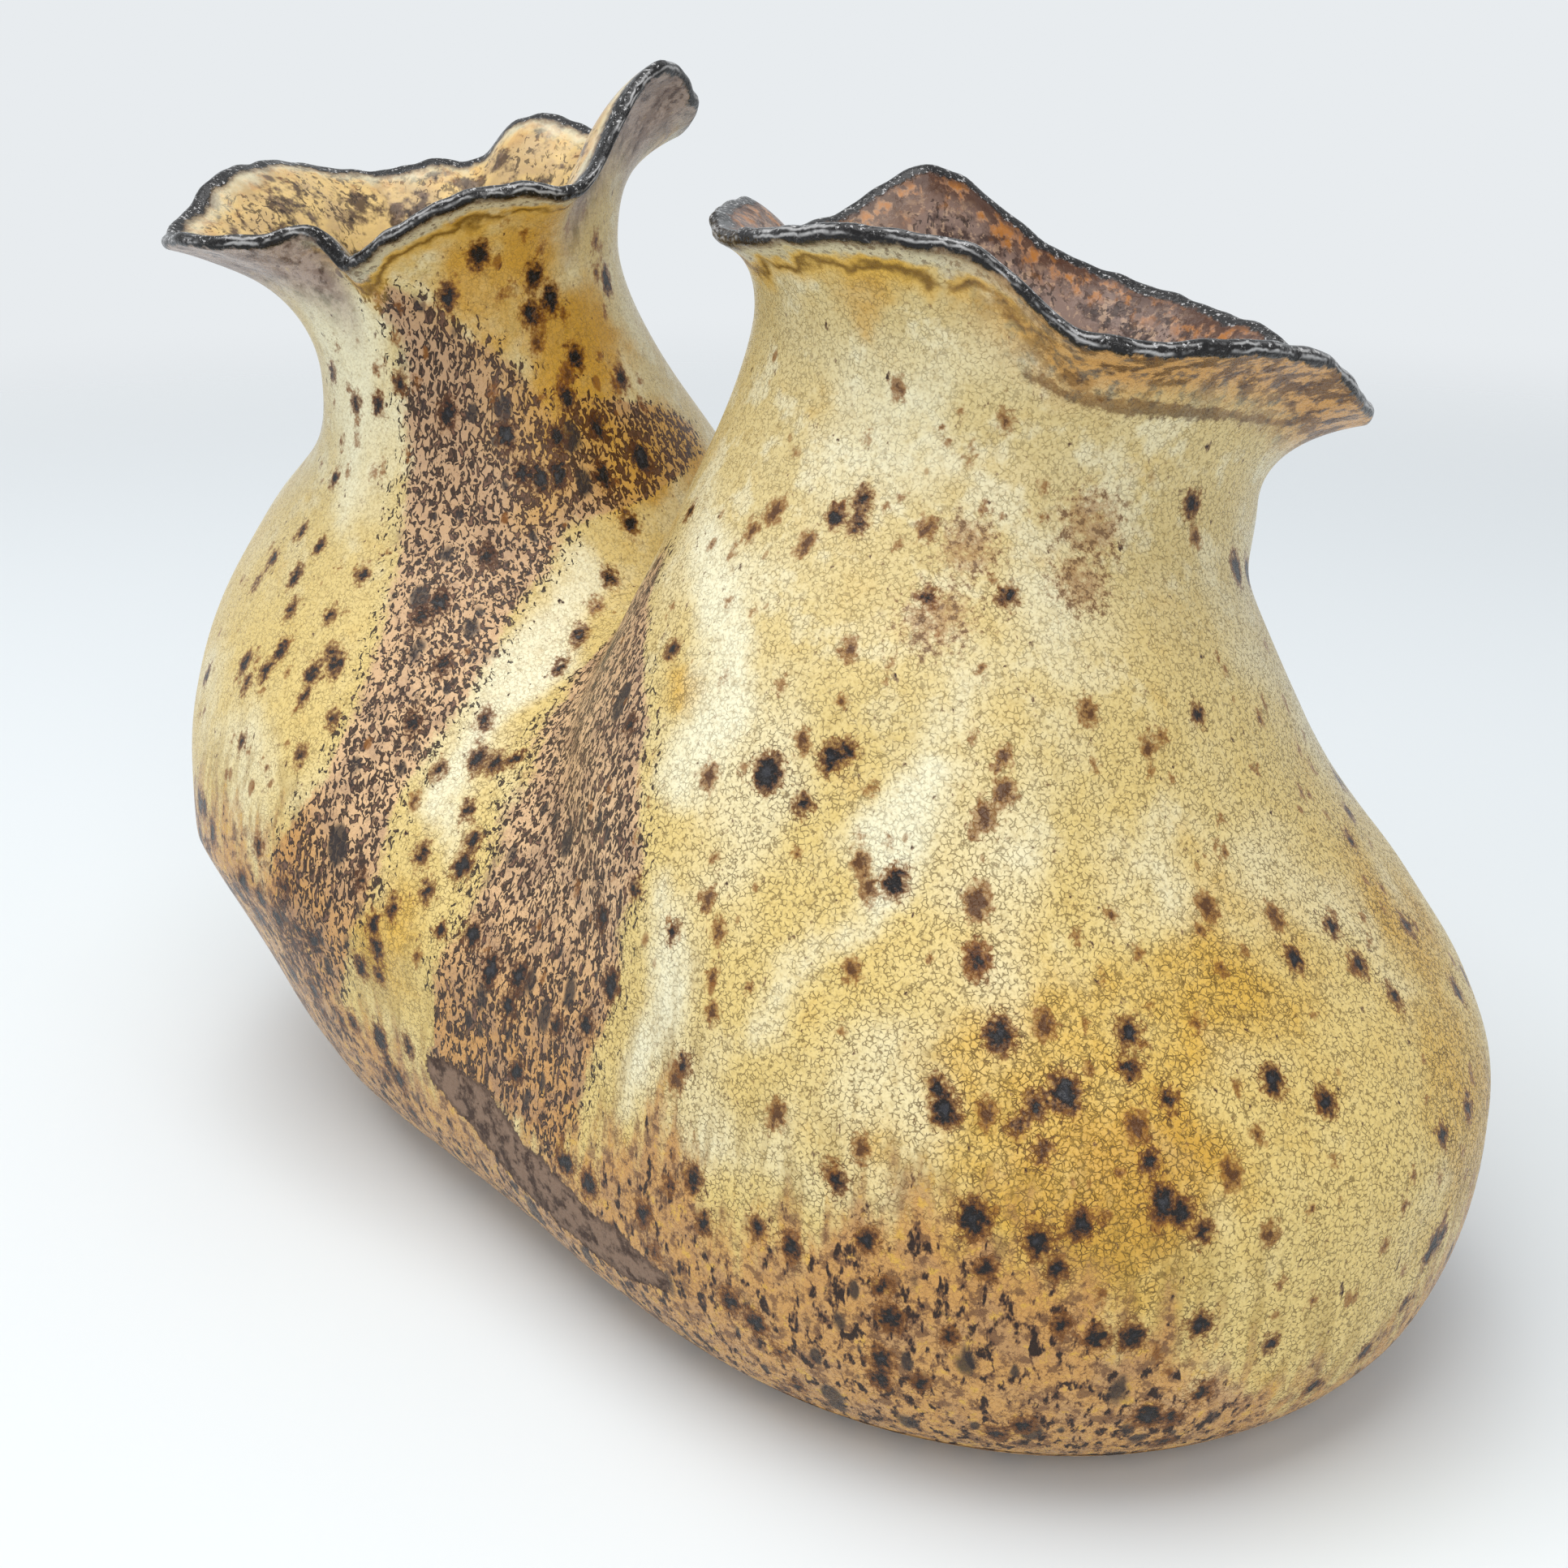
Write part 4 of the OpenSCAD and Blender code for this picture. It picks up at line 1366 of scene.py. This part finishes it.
INSIDE_ROUGH = 0.24
INSIDE_WORM_ROUGH = 0.12
INSIDE_RIM_ROUGH = -0.10
INSIDE_BUMP_NOISE = (1.3, 3, 0.6)
INSIDE_BUMP = 0.5
INSIDE_WORM_BUMP = -0.2


def inside_glaze():
    """Glaze of the inside: golden in the rear mouth, mauve in the front one, burnt near the dark rim."""
    g = Glaze("inside_glaze")
    front = front_share(g)
    clouds = g.times(g.patches(*INSIDE_CLOUDS), INSIDE_CLOUD_SHARE)
    colour = g.mix(INSIDE_GOLD, INSIDE_MAUVE, g.most(front, clouds))
    colour = g.strew(colour, INSIDE_PATCHES)
    colour = g.strew(colour, INSIDE_GRAIN, g.span(front, *INSIDE_GRAIN_BY_POT))
    mottle = g.times(g.patches(*INSIDE_WORMS), g.patches(*INSIDE_WORM_PATCHES))
    colour = g.mix(colour, DARK_BROWN, mottle, INSIDE_WORM_SHARE)
    colour = g.mix(colour, DROP, g.drops(*INSIDE_DROPS), INSIDE_DROP_SHARE)

    rim = g.field("rim", (g.noise(*INSIDE_DRIFT_NOISE), INSIDE_DRIFT))
    streaks = g.noise(*INSIDE_STREAK_NOISE)
    colour = g.coat(colour, CREAM_BELT, rim, g.span(front, *CREAM_BELT_BY_POT))
    belt = g.rise(rim, *DARK_BELT_EDGE)
    colour = g.coat(colour, DARK_BELT, streaks, belt, g.span(front, *DARK_BELT_BY_POT))
    belt = g.rise(rim, *ORANGE_BELT_EDGE)
    colour = g.coat(colour, ORANGE_BELT, streaks, belt, g.span(front, *ORANGE_BELT_BY_POT))
    colour, dark = rim_edge(g, colour, INNER_EDGE_WIDTH, INNER_GLINTS)

    roughness = g.plus(INSIDE_ROUGH, (mottle, INSIDE_WORM_ROUGH), (dark, INSIDE_RIM_ROUGH))
    height = g.plus(
        g.times(g.noise(*INSIDE_BUMP_NOISE), INSIDE_BUMP),
        (mottle, INSIDE_WORM_BUMP),
        (g.times(dark, g.noise(*RIM_BUMP_NOISE)), RIM_BUMP),
    )
    return g.finish(colour, roughness, height)


CLAY_CLOUDS = (DARK_CLAY, 0.40, 0.64, 1, (9, 4, 0.6))
CLAY_GRAIN_NOISE = (0.7, 4, 0.7)
CLAY_GRAIN = (DARK_TAUPE, 0.56, 0.66, 0.7)
CLAY_ROUGH = 0.62
CLAY_GRAIN_ROUGH = 0.2


def bare_clay():
    """Unglazed fired clay of the underside and of the luted faces."""
    g = Glaze("bare_clay")
    grain = g.noise(*CLAY_GRAIN_NOISE)
    colour = g.coat(g.strew(CLAY, CLAY_CLOUDS), CLAY_GRAIN, grain)
    return g.finish(colour, g.plus(CLAY_ROUGH, (grain, CLAY_GRAIN_ROUGH)), grain)


def build_vase():
    parts = {name: gathered(grids) for name, grids in GRIDS.items()}
    starts = {}
    skins = []
    count = 0
    for name, (points, faces, kinds) in parts.items():
        starts[name] = count
        skins.append(faces[kinds != JOINT] + count)
        count += len(points)
    skins = np.concatenate(skins)
    points = np.concatenate([part[0] for part in parts.values()])
    points = points + skin_normals(points, skins) * unevenness(points)[:, None]
    normals = skin_normals(points, skins)
    outer = []
    for name, grids in GRIDS.items():
        rows, columns = grids[0][1].shape[:2]
        outer.append(starts[name] + np.arange(rows * columns))
    outer = np.concatenate(outer)
    skin = Skin(points[outer], normals[outer])
    spots = with_strewn(IRON_SPOTS, STREWN_SPOTS)
    rust = with_strewn(RUST_SPOTS, STREWN_RUST)
    materials = (outside_glaze(), inside_glaze(), bare_clay())
    for name, (plain, faces, kinds) in parts.items():
        here = slice(starts[name], starts[name] + len(plain))
        mine = points[here]
        uneven = bent(mine)
        rim, mauve = rim_fields(name, GRIDS[name])
        fields = {
            "band": band_field(mine),
            "foot": foot_field(mine),
            "spot": spot_field(mine, skin, spots, SPOT_STRETCH),
            "rust": spot_field(mine, skin, rust, RUST_STRETCH),
            # Pale runs and wisps, the runs partly painted highlight.
            "pale": np.maximum(
                run_share(uneven, skin, PALE_RUNS_AND_HIGHLIGHTS),
                WISP_STRENGTH * run_share(uneven, skin, PALE_WISPS),
            ),
            "lip_shadow": run_share(mine, skin, LIP_SHADOW_RUNS),
            "amber": patch_share(uneven, skin, AMBER_PATCHES),
            "deep": patch_share(uneven, skin, DEEP_PATCHES),
            "faded": patch_share(mine, skin, FADED_PATCHES),
            "bare": run_field(mine, skin, FRONT, BARE_PATCH),
            "rim": rim,
            "mauve": mauve,
        }
        piece = build_piece(name + "_clay", mine, faces, kinds, normals[here], fields, materials)
        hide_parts(name)
        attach(piece, "root")


# The camera stands where the photograph was taken from.
CAMERA_AT = np.array([273.4, -283.1, 228.9])
CAMERA_TO = np.array([0.8, 0.0, 80.8])
CAMERA_ROLL = math.radians(0.29)
SENSOR = 36
LENS = 47.97
CLIP_START = 0.01


def add_camera():
    ahead = (CAMERA_TO - CAMERA_AT) / np.linalg.norm(CAMERA_TO - CAMERA_AT)
    right = np.cross(ahead, (0, 0, 1))
    right = right / np.linalg.norm(right)
    up = np.cross(right, ahead)
    turned_right = right * math.cos(CAMERA_ROLL) + up * math.sin(CAMERA_ROLL)
    turned_up = up * math.cos(CAMERA_ROLL) - right * math.sin(CAMERA_ROLL)
    matrix = np.eye(4)
    matrix[:3, 0] = turned_right
    matrix[:3, 1] = turned_up
    matrix[:3, 2] = -ahead
    matrix[:3, 3] = CAMERA_AT * MM
    data = bpy.data.cameras.new("camera")
    data.sensor_width = SENSOR
    data.lens = LENS
    data.clip_start = CLIP_START
    camera = bpy.data.objects.new("camera", data)
    camera.matrix_world = Matrix(matrix.tolist())
    bpy.context.scene.collection.objects.link(camera)
    bpy.context.scene.camera = camera


# Soft boxes, all aimed at one point: place, width and height in metres, and power in watts.
AIM = (0.0, 0.0, 0.09)
SOFT_BOXES = {
    "overhead": ((-0.12, -0.40, 1.9), 1.6, 1.6, 24.0),
    "left_box": ((-0.55, -0.90, 0.62), 0.5, 0.9, 1.9),
    "right_box": ((0.85, -0.60, 0.60), 0.5, 0.9, 3.6),
}
SKY = (0.93, 0.96, 1.0)
SKY_LIGHT = 0.42
BACKGROUND = (0.910, 0.925, 0.937)
FLOOR_COLOUR = (0.935, 0.955, 0.964)
FLOOR_ROUGH = 0.7
FLOOR_GLOSS = 0.1
FLOOR_SIDES = 96
FLOOR_RADIUS = 1600
FLOOR_FADE = (1250, 550)


def add_lights():
    for name, (place, width, height, power) in SOFT_BOXES.items():
        data = bpy.data.lights.new(name, "AREA")
        data.shape = "RECTANGLE"
        data.size = width
        data.size_y = height
        data.energy = power
        lamp = bpy.data.objects.new(name, data)
        lamp.location = place
        lamp.rotation_euler = (Vector(AIM) - Vector(place)).to_track_quat("-Z", "Y").to_euler()
        bpy.context.scene.collection.objects.link(lamp)


def add_world():
    """Even studio light; the camera and clear reflections see the pale backdrop."""
    world = bpy.data.worlds.new("studio")
    world.use_nodes = True
    bpy.context.scene.world = world
    tree = world.node_tree
    tree.nodes.clear()
    path = tree.nodes.new("ShaderNodeLightPath")
    seen = path.outputs["Is Camera Ray"]
    for ray in ("Is Glossy Ray", "Is Transmission Ray"):
        either = tree.nodes.new("ShaderNodeMath")
        either.operation = "MAXIMUM"
        tree.links.new(seen, either.inputs[0])
        tree.links.new(path.outputs[ray], either.inputs[1])
        seen = either.outputs[0]
    light = tree.nodes.new("ShaderNodeBackground")
    light.inputs["Color"].default_value = (*SKY, 1)
    light.inputs["Strength"].default_value = SKY_LIGHT
    backdrop = tree.nodes.new("ShaderNodeBackground")
    backdrop.inputs["Color"].default_value = (*linear(BACKGROUND), 1)
    either = tree.nodes.new("ShaderNodeMixShader")
    tree.links.new(seen, either.inputs[0])
    tree.links.new(light.outputs[0], either.inputs[1])
    tree.links.new(backdrop.outputs[0], either.inputs[2])
    output = tree.nodes.new("ShaderNodeOutputWorld")
    tree.links.new(either.outputs[0], output.inputs[0])


def add_floor():
    """A round pale floor that fades out into the backdrop."""
    turns = np.linspace(0, 2 * math.pi, FLOOR_SIDES, endpoint=False)
    rim = FLOOR_RADIUS * MM * np.stack([np.cos(turns), np.sin(turns), np.zeros(FLOOR_SIDES)], -1)
    mesh = bpy.data.meshes.new("floor")
    mesh.from_pydata(rim.tolist(), [], [list(range(FLOOR_SIDES))])
    g = Glaze("floor")
    g.put(g.shader.inputs["Base Color"], FLOOR_COLOUR)
    g.put(g.shader.inputs["Roughness"], FLOOR_ROUGH)
    g.put(g.shader.inputs["Specular IOR Level"], FLOOR_GLOSS)
    away = g.node("ShaderNodeVectorMath", operation="LENGTH")
    g.put(away.inputs[0], g.place)
    g.put(g.shader.inputs["Alpha"], g.rise(away.outputs["Value"], *FLOOR_FADE))
    mesh.materials.append(g.material)
    floor = bpy.data.objects.new("floor", mesh)
    bpy.context.scene.collection.objects.link(floor)


build_vase()
add_camera()
add_lights()
add_world()
add_floor()
bpy.context.scene.view_settings.view_transform = "Standard"
